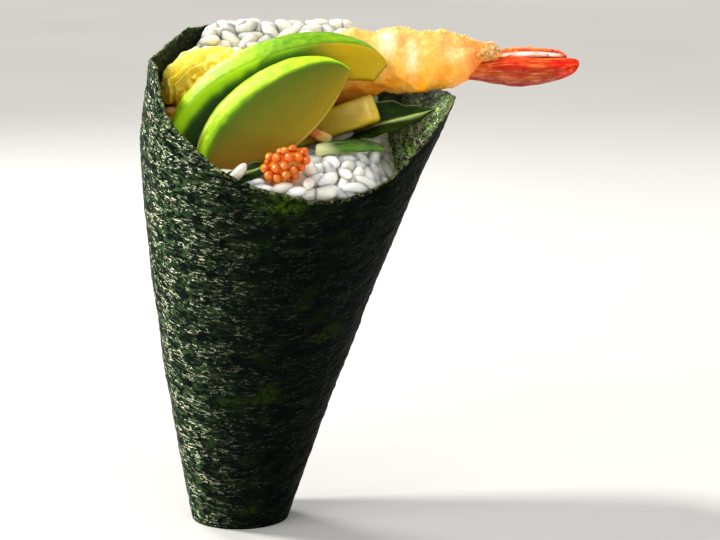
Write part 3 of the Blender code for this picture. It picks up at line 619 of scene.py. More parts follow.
def nori_look():
    look = Look("nori", Specular_Tint=(0.84, 1.0, 0.72, 1.0))
    inside, wet, painted_glint_side = look.value("inside"), look.value("wet"), look.value("frayed")
    cloud = look.noise((7, 4), uv="sheet", detail=4.0)
    crinkle = look.noise((1.9, 0.55), detail=2.5, uv="sheet", warp=0.6)
    bed = look.noise((6.0, 1.9), detail=2.0, uv="sheet", warp=0.6)
    painted_dim_glints = look.ramp(look.noise((2.6, 1.1), uv="sheet", warp=0.8), (0.5, 0.0), (0.6, 0.7))
    pulp = look.noise(1.2, warp=0.8)
    # Painted light on the outside, by the glint share: a painted teal sheen over the bed, and dim green painted
    # glints
    dark = look.layers(
        look.ramp(cloud, (0.35, (1, 3, 4)), (0.5, (2, 6, 5)), (0.68, (10, 20, 4))),
        (look.times(painted_glint_side, 0.6), look.ramp(bed, (0.4, (3, 9, 10)), (0.6, (18, 40, 28)))),
        (look.times(painted_dim_glints, painted_glint_side), (60, 88, 48)),
    )
    dull = look.ramp(cloud, (0.3, (10, 15, 14)), (0.7, (38, 48, 32)))
    dull = look.mix(look.ramp(pulp, (0.5, 0.0), (0.62, 0.5)), dull, (70, 88, 46))
    # Painted highlights on the wet inside: white strands and the brightest greens are painted sparkle over the wet
    # nori's own green
    painted_sparkle_strands = look.noise(1.9, detail=1.5, warp=1.8)
    painted_sparkle_strands = look.ramp(painted_sparkle_strands, (0.46, 0.0), (0.485, 1.0), (0.51, 1.0), (0.535, 0.0))
    green = look.ramp(pulp, (0.38, (12, 32, 1)), (0.5, (70, 124, 8)), (0.64, (190, 232, 84)))
    green = look.mix(painted_sparkle_strands, green, (255, 255, 236))
    flank = look.ramp(crinkle, (0.56, 0.0), (0.58, 1.0), (0.605, 1.0), (0.625, 0.0))
    flank = look.times(flank, look.ramp(bed, (0.45, 0.0), (0.55, 1.0)))
    flank = look.mix(inside, flank, (0, 0, 0))
    # Bright painted glints on the ridges' flanks where the glint share is high; the same flecks also get more gloss
    painted_glint_flecks = look.times(flank, painted_glint_side)
    base = look.layers(
        look.mix(inside, dark, look.mix(wet, dull, green)),
        (look.times(look.value("thin"), look.ramp(pulp, (0.42, 0.15), (0.6, 1.0))), (66, 92, 10)),
        (look.times(flank, 0.6), (20, 27, 20)),
        (painted_glint_flecks, (255, 255, 212)),
        # A pale mottled line along the rim's top: painted light showing through the thin edge
        (look.times(look.value("edge"), look.ramp(pulp, (0.47, 0.0), (0.6, 0.8))), (136, 146, 92)),
    )
    steps = look.ramp(crinkle, (0.53, 0.0), (0.66, 1.0))
    outer = look.maths("ADD", look.times(steps, 0.2), look.times(bed, 0.9))
    inner = look.times(look.ramp(pulp, (0.3, 0.0), (0.7, 1.0)), 1.1)
    normal = look.bump(look.mix(inside, outer, inner), 1.0)
    shine = look.ramp(painted_glint_flecks, (0.0, 0.03), (1.0, 0.5))
    shine = look.mix(inside, shine, look.ramp(wet, (0.0, 0.1), (1.0, 1.0)))
    look.put(look.shader.inputs["Specular IOR Level"], shine)
    rough = look.ramp(painted_glint_flecks, (0.0, 0.6), (0.7, 0.3))
    return look.finish(base, normal, look.mix(inside, rough, look.ramp(wet, (0.0, 0.5), (1.0, 0.22))))


# The rice

def fill_height(x, y):
    crest = through(CREST, y / MM)[0] * MM
    left = through(LEFT_SLOPE, y / MM)[0] * MM
    to_left = ease(CREST_SPAN[0], LEFT_END, x)
    to_right = ease(CREST_SPAN[1], RIGHT_END, x)
    bump = RICE_BUMPS * wave(x / (7 * MM), y / (7 * MM), 0)
    return crest + (left - crest) * to_left + (RIGHT_LEVEL * MM - crest) * to_right + bump


def rice_top(angle, share):
    """A point on the rice's top, this share of the way from the middle to the wall."""
    low, high = 0.0, rim_height(angle) - BELOW_RIM + (1 - share) * CREST_RISE
    for _ in range(20):
        z = (low + high) / 2
        point = Vector((*section(z)[:2], z)).lerp(wall_point(angle, z, FROM_WALL), share)
        if fill_height(point.x, point.y) > z:
            low = z
        else:
            high = z
    return point


def rice_look():
    look = Look(
        "rice", (0.8, 0.006, (1.0, 0.88, 0.68)), Coat_Weight=0.2, Coat_Roughness=0.15, Specular_IOR_Level=0.35,
    )
    white = look.ramp(look.noise(5), (0.3, (240, 239, 228)), (0.7, (252, 252, 247)))
    # Per-grain tone from the shade value, which also carries painted shade
    shade = look.ramp(look.value("shade"), (0.0, (196, 198, 196)), (0.5, (232, 229, 215)), (1.0, (255, 255, 253)))
    # The glow value mixes in painted warm light and shade
    colour = look.mix(look.value("glow"), look.mix(1.0, white, shade, "MULTIPLY"), (244, 160, 56))
    normal = look.bump(look.noise(0.9, detail=2.0), 0.12, 0.5)
    return look.finish(colour, normal, look.ramp(look.noise(2.2), (0.3, 0.28), (0.7, 0.42)))


def grain_points(rng):
    """Points of one cooked grain along x: plump, a little bent, with blunt ends."""
    length = GRAIN_LENGTH * rng.uniform(0.82, 1.1)
    width = GRAIN_WIDTH * rng.uniform(0.88, 1.12)
    bend = rng.uniform(-0.4, 0.6) * MM
    flat = rng.uniform(0.86, 1.0)
    skew = rng.uniform(-0.12, 0.12)
    rings = []
    for k in range(GRAIN_RINGS):
        t = -cos(pi * (k + 0.5) / GRAIN_RINGS)
        radius = width / 2 * (1 - abs(t) ** 2.3) ** 0.5 * (1 + skew * t)
        lift = bend * (t * t - 0.4)
        rings.append([
            Vector((t * length / 2, radius * cos(angle), lift + flat * radius * sin(angle)))
            for angle in around(GRAIN_SIDES)
        ])
    points, faces = loft(rings)
    points[-2].x, points[-1].x = -length / 2, length / 2
    return points, faces, length, width


def painted_warm_light(point):
    """How much painted warm light lies on the rice here: the roe's orange cast onto the rice near it, and painted
    warm shade by the prawn's left end.
    """
    near = (point - leaning_mm(*ROE_CENTRE)).length
    left = (point - Vector(LEFT_PAINTED_SHADE) * MM).length
    return 0.28 * (1 - ease(4 * MM, 9 * MM, near)) + 0.9 * (1 - ease(5 * MM, 9 * MM, left))


def top_spot(rows, rng):
    """A random point on the rice's top, and the normal there."""
    count = len(rows[0])
    row = (1 - sqrt(rng.random())) * (CORE_RINGS - 1.001)
    column = rng.uniform(0, count)
    r, c = int(row), int(column) % count
    corner, beside, inner = rows[r][c], rows[r][(c + 1) % count], rows[r + 1][c]
    far = rows[r + 1][(c + 1) % count]
    point = corner.lerp(beside, column % 1).lerp(inner.lerp(far, column % 1), row - r)
    normal = (beside - corner).cross(inner - corner).normalized()
    return point, -normal if normal.z < 0 else normal


def along_x(heading):
    """The turn that lays x along a heading."""
    return heading.to_track_quat("X", "Z").to_matrix().to_4x4()


def make_rice(look):
    angles = around(CORE_SIDES)
    rows = [[rice_top(angle, 1 - step / CORE_RINGS) for angle in angles] for step in range(CORE_RINGS + 1)]
    low = FLOOR + 0.35 * MM
    rings = [
        [wall_point(angle, low + row / 8 * (edge.z - low - CORE_LOWER), FROM_WALL)
         for angle, edge in zip(angles, rows[0])]
        for row in range(9)
    ]
    for row in rows[1:-1]:
        lumps = [0.5 * abs(wave(*(part / (2.3 * MM) for part in point))) * MM for point in row]
        rings.append([point + Vector((0, 0, lump - CORE_LOWER)) for point, lump in zip(row, lumps)])
    core = Shape()
    points, faces = loft(rings)
    core.add(points, faces, shade=0.6, glow=[painted_warm_light(point) for point in points])
    core.make("rice_core", look, "cooked_rice", "rice")

    rng = random.Random(7)
    solids = [Solid(name) for name in NEAR_RICE]
    grains = Shape()
    spot, rise = LONE_GRAIN
    lone = leaning_mm(*spot)
    matrix = Matrix.Translation(lone) @ along_x(leaning(cos(rise), sin(rise), 0))
    points, faces, _, _ = grain_points(rng)
    # The lone grain is painted dim: painted shade
    grains.add([matrix @ point for point in points], faces, shade=0.1, glow=0.0)
    places = [lone]
    for _ in range(GRAIN_TRIES):
        if len(places) >= GRAIN_COUNT:
            break
        point, normal = top_spot(rows, rng)
        under_prawn = point.x > 32 * MM and point.z > 97 * MM
        under_slices = point.x < 0.5 * MM and point.y < -16 * MM
        if point.z < GRAIN_FLOOR or under_prawn or under_slices:
            continue
        steep = ease(0.85, 0.4, normal.z)
        centre = point + normal * (rng.uniform(0.0, 1.3) + 0.9 * steep) * MM
        by_lone = point.x < 2 * MM and (centre - lone).length < 7 * MM
        if by_lone or any((centre - other).length_squared < GRAIN_APART ** 2 for other in places):
            continue
        heading = (Vector((1, 0, 0)) - normal * normal.x).normalized()
        swing = rng.gauss(0, 0.45) if rng.random() < 0.65 else rng.uniform(0, TURN)
        heading.rotate(Matrix.Rotation(swing, 3, normal))
        heading = (heading + normal * rng.gauss(0.05 + 0.25 * steep, 0.26 + 0.45 * steep)).normalized()
        points, faces, length, width = grain_points(rng)
        line = [centre + heading * (place * length) for place in (-0.34, 0, 0.34)]
        if any(solid.near(spot, 0.36 * width) for solid in solids for spot in line):
            continue
        places.append(centre)
        matrix = Matrix.Translation(centre) @ along_x(heading) @ Matrix.Rotation(rng.uniform(0, TURN), 4, "X")
        # Random tone per grain, with painted shade: grains towards the back are painted darker
        shade = rng.uniform(0.6, 1.0) * (1 - 0.65 * ease(-6 * MM, 4 * MM, centre.y))
        grains.add([matrix @ point for point in points], faces, shade=shade, glow=painted_warm_light(centre))
    grains.make("rice_grains", look, "cooked_rice")


# The fried prawn

def batter_relief(place):
    """The solid's lumps with smoother puffs, layers and crust on them, and how open to the light each spot lies."""
    broad = wave_over(place, CRAG_SIZE)
    fine = wave_over(place, 0.45 * CRAG_SIZE, (5, 1, 2))
    puff = abs(wave_over(place, 6.5 * MM, (3, 8, 1)))
    left = ease(22 * MM, 9 * MM, place.x)
    warp = wave_over(place, 6.0 * MM) + 0.35 * wave_over(place, 2.4 * MM)
    climb = (0.9 * place.y - 0.6 * place.x + 0.5 * place.z) / (4.6 * MM) + 1.5 * warp
    layer = climb % 1.0
    shelf = layer * (1 - ease(0.8, 1.0, layer))
    soft = wave_over(place, 2.6 * MM, (9, 2, 6))
    small = wave_over(place, 1.1 * MM, (4, 4, 6))
    crust = ease(0.1, 0.6, wave_over(place, 8 * MM, (1, 4, 9)) + ease(45 * MM, 60 * MM, place.x))
    grit = 0.08 * crust * wave_over(place, 0.5 * MM)
    relief = CRAG * (0.9 * broad + 0.3 * fine)
    relief += (0.95 * puff + 0.4 * soft + (0.10 + 0.10 * crust) * small - 0.2 + grit) * MM
    relief += left * (1.9 * shelf - 0.7) * MM
    fold = ease(0.0, 0.35, layer) * ease(1.0, 0.9, layer)
    return relief, min(1.0, 0.45 + 3.0 * puff + 0.4 * soft) * (1 - left) + left * fold


def batter_colour(x, angle, open_share, place):
    """Cream on top, golden below, orange at the bottom: partly the batter's own tone, partly painted light and
    shade. Orange in the creases is painted shade; pale spots are painted highlights; yellow at the left end.
    """
    top = 0.5 + 0.5 * cos(angle) - 0.12 * sin(angle)
    patch = wave_over(place, 4 * MM)
    up = place.y / MM
    # Cream on top and orange below: partly own tone, partly painted light and shade
    cream = layered((252, 199, 88), ((241, 185, 90), ease(0.6, 1.0, top + 0.3 * patch)))
    colour = layered((252, 164, 14), (cream, ease(0.05, 0.55, top + 0.3 * patch)))
    # Painted shade: orange where the batter lies less open to the light
    colour = layered((255, 172, 36), (colour, 0.5 + 0.5 * ease(0.0, 0.4, open_share)))
    # Painted highlights: pale spots on the front
    for spot_x, spot_up, wide, tall, strong in PAINTED_HIGHLIGHT_SPOTS:
        near = exp(-((x - spot_x) / wide) ** 2 - ((up - spot_up) / tall) ** 2)
        colour = layered(colour, ((255, 248, 214), strong * near * ease(0.3, -0.3, sin(angle))))
    # The yellow left end: paler on top and darker in its folds, painted light and shade
    yolk = layered((240, 204, 0), ((255, 236, 92), ease(0.2, 0.8, top + 0.5 * patch)))
    yolk = layered((250, 220, 0), (yolk, 0.4 + 0.6 * open_share))
    fold_x, fold_up, wide, tall = ORANGE_FOLD
    fold = exp(-(((x - fold_x) / wide) ** 2 + ((up - fold_up) / tall) ** 2))
    return layered(
        colour, (yolk, 0.95 * ease(24, 8, x)), ((255, 146, 38), 0.65 * ease(54, 61, x + 3 * patch)),
        ((244, 116, 4), 0.9 * fold),
    )


def batter_end_at(angle):
    """The x where the batter ends, which slants with the height up the lean."""
    return BATTER_END[0] + (ROOT_UP + ROOT_HALF * cos(angle) - BATTER_END[1]) / tan(BATTER_END_SLOPE)


def on_prawn(x, angle, out=0.0, round_off=1.0):
    """A point this far out of the batter, how open to the light it lies, and its place in the noise."""
    up, half_up, half_deep = through(PRAWN, x)
    place = Vector((x, up + half_up * cos(angle), half_deep * sin(angle))) * MM
    relief, open_share = batter_relief(place)
    extra = relief * min(half_up, 3) / 3 + out
    point = leaning(
        x * MM, up * MM + (half_up * MM + extra) * cos(angle) * round_off,
        PRAWN_DEPTH + (half_deep * MM + extra) * sin(angle) * round_off,
    )
    return point, open_share, place


def make_batter():
    rings, colours = [], []
    start = PRAWN[0][0]
    for k in range(BATTER_RINGS + 1):
        share = k / BATTER_RINGS
        share = 0.5 * share + 0.5 * (0.5 - 0.5 * cos(pi * share))
        ring = []
        for angle in around(BATTER_SIDES):
            low_side = max(0.0, -cos(angle))
            last = min(batter_end_at(angle) + 0.9 * ring_wave(angle, 4, 2.2), BATTER_LAST) + 2.6 * low_side
            x = start + (last - start) * share
            round_off = sqrt(max(0.0, 1 - ease(1.4 + 2.2 * low_side, -0.05, last - x) ** 2))
            point, open_share, place = on_prawn(x, angle, 0.0, round_off)
            ring.append(point)
            colour = batter_colour(x, angle, open_share, place)
            colours.append(layered(colour, ((230, 120, 56), 0.7 * low_side * ease(3.4, 0.6, last - x))))
        rings.append(ring)
    colours += [linear((240, 190, 90))] * 2
    make_lofted("batter", batter_look("batter", 5 * MM), "fried_batter", "shrimp_body", rings, tint=colours)


def batter_look(name, glow):
    """Fried batter; glow is how far light spreads in it."""
    look = Look(
        name, (0.55, glow, (1.0, 0.72, 0.3)), Coat_Weight=0.2, Coat_Roughness=0.25, Specular_IOR_Level=0.35,
    )
    shade = look.ramp(look.noise(0.9, detail=4.0), (0.3, (250, 230, 190)), (0.6, (255, 255, 255)))
    colour = look.mix(1.0, look.tint(), shade, "MULTIPLY")
    normal = look.bump(look.noise(1.3, detail=4.0, rough=0.6), 0.5, 0.8)
    normal = look.bump(look.noise(0.35, detail=2.0), 0.08, 0.5, normal)
    return look.finish(colour, normal, look.ramp(look.noise(3), (0.35, 0.3), (0.65, 0.55)))


def make_crumbs():
    """Crags of batter at the tail's root, and fine crumbs on the top and the bottom of the prawn."""
    rng = random.Random(21)
    coarse, fine = ball(2), ball(3)
    shape = Shape()

    def crumb(centre, size, colour, painted_dent_shade=None):
        points, faces = fine if painted_dent_shade else coarse
        turn = Matrix.Rotation(rng.uniform(0, TURN), 3, Vector((rng.random(), rng.random(), 1)).normalized())
        stretch = Vector((rng.uniform(0.8, 1.5), rng.uniform(0.5, 0.9), rng.uniform(0.6, 1.1)))
        seed = Vector((rng.random(), rng.random(), rng.random())) * 50
        moved, colours = [], []
        for point in points:
            lump = 1 + 0.8 * noise.noise(point * 1.5 + seed)
            if painted_dent_shade:
                lump = 1 + 0.6 * (lump - 1) + 0.2 * abs(noise.noise(point * 2.6 + seed)) - 0.05
            moved.append(centre + turn @ (point * stretch * (size * lump)))
            colours.append(layered(painted_dent_shade, (colour, ease(0.75, 1.15, lump))) if painted_dent_shade else colour)
        shape.add(moved, faces, tint=colours)

    for _ in range(CRAG_COUNT):
        angle = rng.uniform(-1.5, 1.3)
        edge = min(batter_end_at(angle), BATTER_LAST)
        size = rng.uniform(0.8, 1.9) * MM
        colour = layered((255, 172, 84), ((255, 208, 142), rng.random()))
        x = edge - rng.uniform(-0.2, 3.4) - size / MM * 0.5
        # Crags are orange in their dents: painted shade
        crumb(on_prawn(x, angle, -0.62 * size)[0], size, colour, (240, 104, 6))
    for _ in range(CRUMB_COUNT):
        low = rng.random() < 0.3
        angle = rng.gauss(pi, 0.3) if low else rng.gauss(0, 0.55)
        x = (55 if low else 61) - 28 * rng.random() ** 1.4
        size = rng.uniform(0.16, 0.46) * MM
        # Crumbs below are orange, those on top pale: partly own tone, partly painted light and shade
        pale = (255, 178, 50) if low else (255, 230, 150)
        warm = layered((255, 190, 84), (pale, rng.random() ** 0.5))
        crumb(on_prawn(x, angle, -0.45 * size)[0], size, warm)
    shape.make("batter_crumbs", batter_look("crumbs", 3 * MM), "fried_batter")


def tail_look():
    look = Look("tail_shell", (0.2, 0.002, (1.0, 0.3, 0.1)), Specular_IOR_Level=0.12)
    fibre = look.noise((6, 0.5, 0.5))
    blotch = look.noise(1.6)
    colour = look.layers(
        look.tint(), (look.ramp(fibre, (0.5, 0.0), (0.7, 0.5)), (255, 168, 84)),
        (look.ramp(fibre, (0.34, 0.6), (0.46, 0.0)), (186, 20, 2)),
        (look.ramp(blotch, (0.60, 0.0), (0.70, 0.75)), (160, 10, 4)),
    )
    return look.finish(colour, look.bump(fibre, 0.35, 0.8), look.ramp(blotch, (0.3, 0.2), (0.7, 0.4)))


def lobe_rings(stations, sides, rings, ridges):
    """Rings of (x, up, deep, angle) in millimetres; the lobe with few ridges has a spiky top."""
    made = []
    start, end = stations[0][0], stations[-1][0]
    for k in range(rings + 1):
        share = 0.5 - 0.5 * cos(pi * k / rings)
        x = start + (end - start) * share
        up, half_up, half_deep = through(stations, x)
        ring = []
        for angle in around(sides):
            ridge = 0.16 * cos(ridges * angle + 0.05 * x) + 0.14 * wave(x / 2.5, angle * 2, 4.4)
            size = 1 + ridge * min(half_up, 1) / max(half_up, 0.6) * ease(end, end - 4, x)
            if ridges < 6:
                spike = max(0.0, wave(x / 0.8, 3.3, 7.7)) + 0.5 * max(0.0, wave(x / 0.35, 1.3, 2.7))
                size += 0.55 * spike * ease(0.75, 1.0, cos(angle)) * min(half_up, 1) / max(half_up, 0.6)
            jag = 0.8 * wave(3 * angle, 2.2, 8.8) * ease(end - 7, end - 1, x) * min(1, half_up)
            ring.append((x + jag, up + half_up * size * cos(angle), half_deep * size * sin(angle), angle))
        made.append(ring)
    return made


def lower_lobe_colour(x, angle):
    """Red on top, brownish and mottled below, darkest at the bottom."""
    top = cos(angle)
    low = ease(0.1, -0.6, top)
    speck = wave(x / 1.6, top * 2.4, 6.6)
    return layered(
        (160, 60, 28), ((190, 26, 2), ease(-0.35, 0.25, top)), ((218, 62, 2), ease(0.3, 0.75, top)),
        ((236, 112, 40), 0.7 * ease(66, 60, x)),
        ((196, 104, 66), low * ease(-0.1, 0.5, wave(x / 3, top * 2, 1.3))),
        ((142, 12, 16), 0.8 * low * ease(0.1, 0.45, speck) * ease(65, 71, x)),
        ((150, 16, 36), 0.8 * ease(-0.7, -0.95, top)), ((220, 18, 0), ease(78, 84, x + 2 * top)),
    )


def upper_lobe_colour(x, angle):
    """Red to orange, with dashes on top and a white stripe along the front, and painted shadow under the stripe."""
    top = cos(angle)
    dash = ease(0.1, 0.4, wave(x / 1.3, top * 3, 9.1)) * ease(0.95, 0.7, top)
    stripe = ease(0.76, 0.92, cos(angle - radians(248))) * ease(63, 65, x)
    stripe *= ease(-0.55, -0.25, wave(x / 3.5, angle * 3, 5.5))
    # Painted shadow: a dark line under the stripe, between the lobes
    under = exp(-((angle - radians(207)) / 0.22) ** 2)
    return layered(
        (228, 56, 8), ((248, 140, 90), ease(0.3, 0.9, top)),
        (layered((252, 186, 70), ((150, 30, 10), ease(72, 78, x))), 0.8 * dash),
        ((122, 6, 2), 0.9 * under), ((255, 238, 224), stripe * ease(83.6, 82, x)),
    )


def make_tail():
    shape = Shape()
    for stations, depth, sides, rings, ridges, paint in (
        (LOWER_LOBE, PRAWN_DEPTH, 96, 90, 7, lower_lobe_colour),
        (UPPER_LOBE, PRAWN_DEPTH + UPPER_LOBE_BACK, 80, 80, 5, upper_lobe_colour),
    ):
        grid = lobe_rings(stations, sides, rings, ridges)
        placed = [[leaning(x * MM, up * MM, depth + deep * MM) for x, up, deep, _ in ring] for ring in grid]
        colours = [paint(x, angle) for ring in grid for x, _, _, angle in ring]
        shape.add(*loft(placed), tint=colours + [linear((210, 60, 30))] * 2)
    shape.make("tail_fans", tail_look(), "tail_shell", "shrimp_tail")


# Avocado

def slice_section(spec, t):
    """One cross-section of a slice at a share of its length, from the skin's back edge round to the stone side."""
    low, high = Vector(spec["low"]), Vector(spec["high"])
    along = (high - low).normalized()
    bow = 2 * sqrt(max(t * (1 - t), 0))
    inner = min(max((t - LIP_SHARE) / (1 - 2 * LIP_SHARE), 0), 1)
    if spec["lip"]:
        lip = -spec["lip"] * min(t, 1 - t, LIP_SHARE) / LIP_SHARE
        stone = lip + (spec["stone"] + spec["lip"]) * sin(pi * inner) ** 0.8
    else:
        stone = spec["stone"] * 4 * t * (1 - t)
    loop = []
    for k in range(15):
        inset = SKIN_BEVEL * through(SLICE_LAYERS, k / 14)[0]
        loop.append((bow * (spec["skin"] - inset), k / 14, 0.0, 1.0))
    edge = loop[-1][0]
    loop += [(edge + (stone - edge) * (k / 26), 1.0, k / 26, 0.0) for k in range(1, 26)]
    loop += [(stone, 1 - k / 6, 1.0, 0.0) for k in range(7)]
    edge = loop[0][0]
    loop += [(stone + (edge - stone) * (k / 14), 0.0, 1 - k / 14, 0.0) for k in range(1, 14)]
    for _ in range(3):
        rounded = []
        for before, here, after in zip([loop[-1], *loop], loop, [*loop[1:], loop[0]]):
            rounded.append((*(0.25 * a + 0.5 * b + 0.25 * c for a, b, c in zip(before[:2], here, after)), *here[2:]))
        loop = rounded
    return low.lerp(high, t), Vector((-along.y, along.x)), loop


def make_slice(name, node, spec, look):
    back = bool(spec["lip"])
    rings, values = [], []
    for i in range(SLICE_STEPS + 1):
        t = 0.5 - 0.5 * cos(pi * (i + 0.35) / (SLICE_STEPS + 0.7))
        chord, across, loop = slice_section(spec, t)
        outermost = max(out for out, *_ in loop)
        right = ease(0.4, 0.72, t)
        clear, gone = (5.0 - 4.4 * right, 8.0 - 6.0 * right) if back else (3.0 - 1.9 * right, 6.0 - 2.9 * right)
        ring = []
        for out, forward, share, skin in loop:
            place = chord + across * out
            dent = 0.22 * wave(place.x / 6, place.y / 6, forward * 2 + 3)
            dent += 0.05 * wave(place.x / 1.4, place.y / 1.4, forward * 4)
            place += across * dent * skin
            depth = spec["depth"] - forward * SLICE_THICKNESS - 0.25 * dent * (1 - skin)
            ring.append(leaning_mm(place.x, place.y, depth))
            flesh = 1 - skin
            band = skin * (1 - ease(0.9, 1.0, forward))
            near_skin = 1 - ease(clear, gone, outermost - out + 0.5 * wave(t * 22, forward, 7.1))
            centred = (place.x - FIBRE_CENTRE[0]) / FIBRE_HALF[0], (out - FIBRE_CENTRE[1]) / FIBRE_HALF[1]
            values.append({
                "inward": share, "band": band, "lime": near_skin * (1 - band), "rear": float(back),
                # Painted shade: the skin band darkens towards its back edge
                "groove": 0.8 * skin * ease(0.3, 0.02, forward), "fibre": (place.x, out, forward, 1.0),
                # Amber: for the back slice the flesh's own yellow; for the front slice partly own tone, partly
                # painted warm light cast by the roe
                "amber": (ease(0.66, 0.86, t) if back else 0.85 * ease(0.78, 0.2, t + 0.5 * (1 - share))) * flesh,
                "verdant": (1 - ease(0.62, 0.8, t)) * flesh if back else 0.0,
                "oval": NO_OVAL if back else hypot(*centred),
                "deep": skin * ease(0.4, 0.62, t) if back else 0.0,
                # Painted highlight: a pale crest line along the front slice's skin band
                "crest": 0.0 if back else skin * exp(-((forward - 0.5) / 0.09) ** 2) * ease(0.55, 0.3, t),
            })
        rings.append(ring)
    tip = dict.fromkeys(values[0], 0.0)
    tip.update(band=1.0, rear=float(back), oval=NO_OVAL, fibre=(0.0, 0.0, 0.0, 1.0))
    make_lofted(name, look, "avocado_flesh", node, rings, **by_name(values + [tip] * 2))


def avocado_look():
    look = Look("avocado", (0.3, 0.0035, (0.8, 1.0, 0.2)), Specular_IOR_Level=0.14)
    inward, lime, oval = look.value("inward"), look.value("lime"), look.value("oval")
    # The cut face is painted darker olive than the skin band: painted shade on the face
    face = look.ramp(
        inward, (0.0, (74, 110, 4)), (0.05, (74, 92, 14)), (0.3, (92, 98, 16)), (0.75, (118, 104, 12)),
        (0.97, (138, 116, 12)), (1.0, (188, 168, 56)),
    )
    # The back slice's face: bright green flesh by the skin, fading inward into painted shade
    green_into_painted_shade = look.ramp(
        inward, (0.0, (130, 180, 2)), (0.07, (98, 148, 0)), (0.18, (54, 94, 0)), (0.34, (26, 54, 0)),
    )
    face = look.layers(
        face, (look.value("amber"), look.mix(look.value("rear"), (122, 84, 0), (172, 144, 0))),
        (look.value("verdant"), green_into_painted_shade), (look.ramp(lime, (0.0, 0.0), (0.5, 1.0)), (78, 122, 0)),
        (look.ramp(lime, (0.4, 0.0), (1.0, 1.0)), (150, 196, 2)),
    )
    mottle = look.noise(2.0, detail=4.0, rough=0.6)
    skin = look.layers(
        look.ramp(mottle, (0.3, (132, 178, 0)), (0.5, (156, 198, 4)), (0.7, (190, 218, 36))),
        (look.value("deep"), look.ramp(mottle, (0.35, (84, 134, 0)), (0.65, (122, 166, 0)))),
        # The crest's pale line is a painted highlight; the darker green at the back edge is painted shade
        (look.value("crest"), (232, 240, 130)), (look.value("groove"), (60, 104, 2)),
    )
    place = look.add("Mapping", {"Vector": look.value("fibre", "Vector"), "Scale": (0.12, 0.5, 0.2)}).outputs[0]
    strands = look.add("TexNoise", {"Vector": place, "Scale": 1.0, "Detail": 3.0, "Distortion": 0.4}).outputs["Fac"]
    swing = look.maths("SINE", look.maths("ADD", look.times(oval, 19.0), look.times(strands, 8.0)), 0.0)
    within = look.ramp(oval, (0.0, 0.05), (0.5, 0.16), (1.0, 0.0))
    colour = look.layers(
        look.mix(look.value("band"), face, skin),
        (look.times(look.ramp(swing, (0.7, 0.0), (0.95, 1.0)), within), (84, 74, 8)),
        (look.times(look.ramp(swing, (0.0, 0.0), (0.4, 0.5), (0.6, 0.0)), within), (170, 156, 60)),
    )
    normal = look.bump(look.noise(1.6), 0.25, 0.5)
    normal = look.bump(look.noise(0.4, detail=2.0), 0.05, 0.4, normal)
    return look.finish(colour, normal, look.ramp(mottle, (0.3, 0.35), (0.7, 0.5)))


# Smaller fillings

def roe_point(along, deep, up):
    """A place in the roe's own axes, in millimetres, as a world point."""
    x = along * cos(ROE_RISE) - up * sin(ROE_RISE)
    rise = along * sin(ROE_RISE) + up * cos(ROE_RISE)
    return leaning_mm(ROE_CENTRE[0] + x, ROE_CENTRE[1] + rise, ROE_CENTRE[2] + deep)


def roe_shell(along, taper, polar, angle):
    """A point on the heap's egg shape, scaled along it and across it."""
    return roe_point(
        -along * ROE_HALF[0] * cos(polar), ROE_HALF[1] * taper * sin(angle), ROE_HALF[2] * taper * cos(angle),
    )


def make_roe():
    rings = []
    for k in range(1, 24):
        polar = pi * k / 24
        taper = 0.86 * sin(polar) * (1 + 0.28 * cos(polar))
        rings.append([roe_shell(0.9, taper, polar, angle) for angle in around(32)])
    look = roe_look()
    make_lofted("roe_core", look, "roe_orange", "roe", rings, tint=linear((255, 140, 8)))
    rng = random.Random(3)
    solids = [Solid(name) for name in NEAR_ROE]
    sphere, sphere_faces = ball(4)
    heap = roe_point(0, 0, 0)
    beads, places = Shape(), []
    for _ in range(BEAD_TRIES):
        polar, angle = acos(rng.uniform(-1, 1)), rng.uniform(0, TURN)
        out = rng.uniform(0.9, 1.12)
        centre = roe_shell(out, sin(polar) * (1 + 0.28 * cos(polar)) * out, polar, angle)
        if any((centre - other).length < BEAD_APART for other in places):
            continue
        if any(solid.near(centre, 0.75 * BEAD) for solid in solids):
            continue
        places.append(centre)
        size = BEAD * rng.uniform(0.92, 1.05)
        warm = layered((255, 150, 0), ((250, 104, 0), rng.random()))
        outward = (centre - heap).normalized()
        spot = (Vector(BEAD_PAINTED_GLINT) + Vector([rng.gauss(0, 0.16) for _ in range(3)])).normalized()
        # Painted shade on the side facing the heap's middle, and a painted glint on each bead
        tints = [
            layered((222, 58, 0), (warm, ease(-0.1, 0.7, point.dot(outward))),
                    ((255, 240, 170), ease(0.955, 0.99, point.dot(spot))))
            for point in sphere
        ]
        beads.add([centre + point * size for point in sphere], sphere_faces, tint=tints)
    beads.make("roe_beads", look, "roe_orange")


def roe_look():
    look = Look(
        "roe", (0.7, 0.002, (1.0, 0.5, 0.1)), Transmission_Weight=0.45, Coat_Weight=0.3, Coat_Roughness=0.03,
        Roughness=0.06, IOR=1.36,
    )
    cloud = look.noise(0.8, detail=2.0)
    colour = look.mix(look.ramp(cloud, (0.35, 0.0), (0.75, 0.5)), look.tint(), (255, 180, 40))
    return look.finish(colour, look.bump(cloud, 0.01, 0.3))


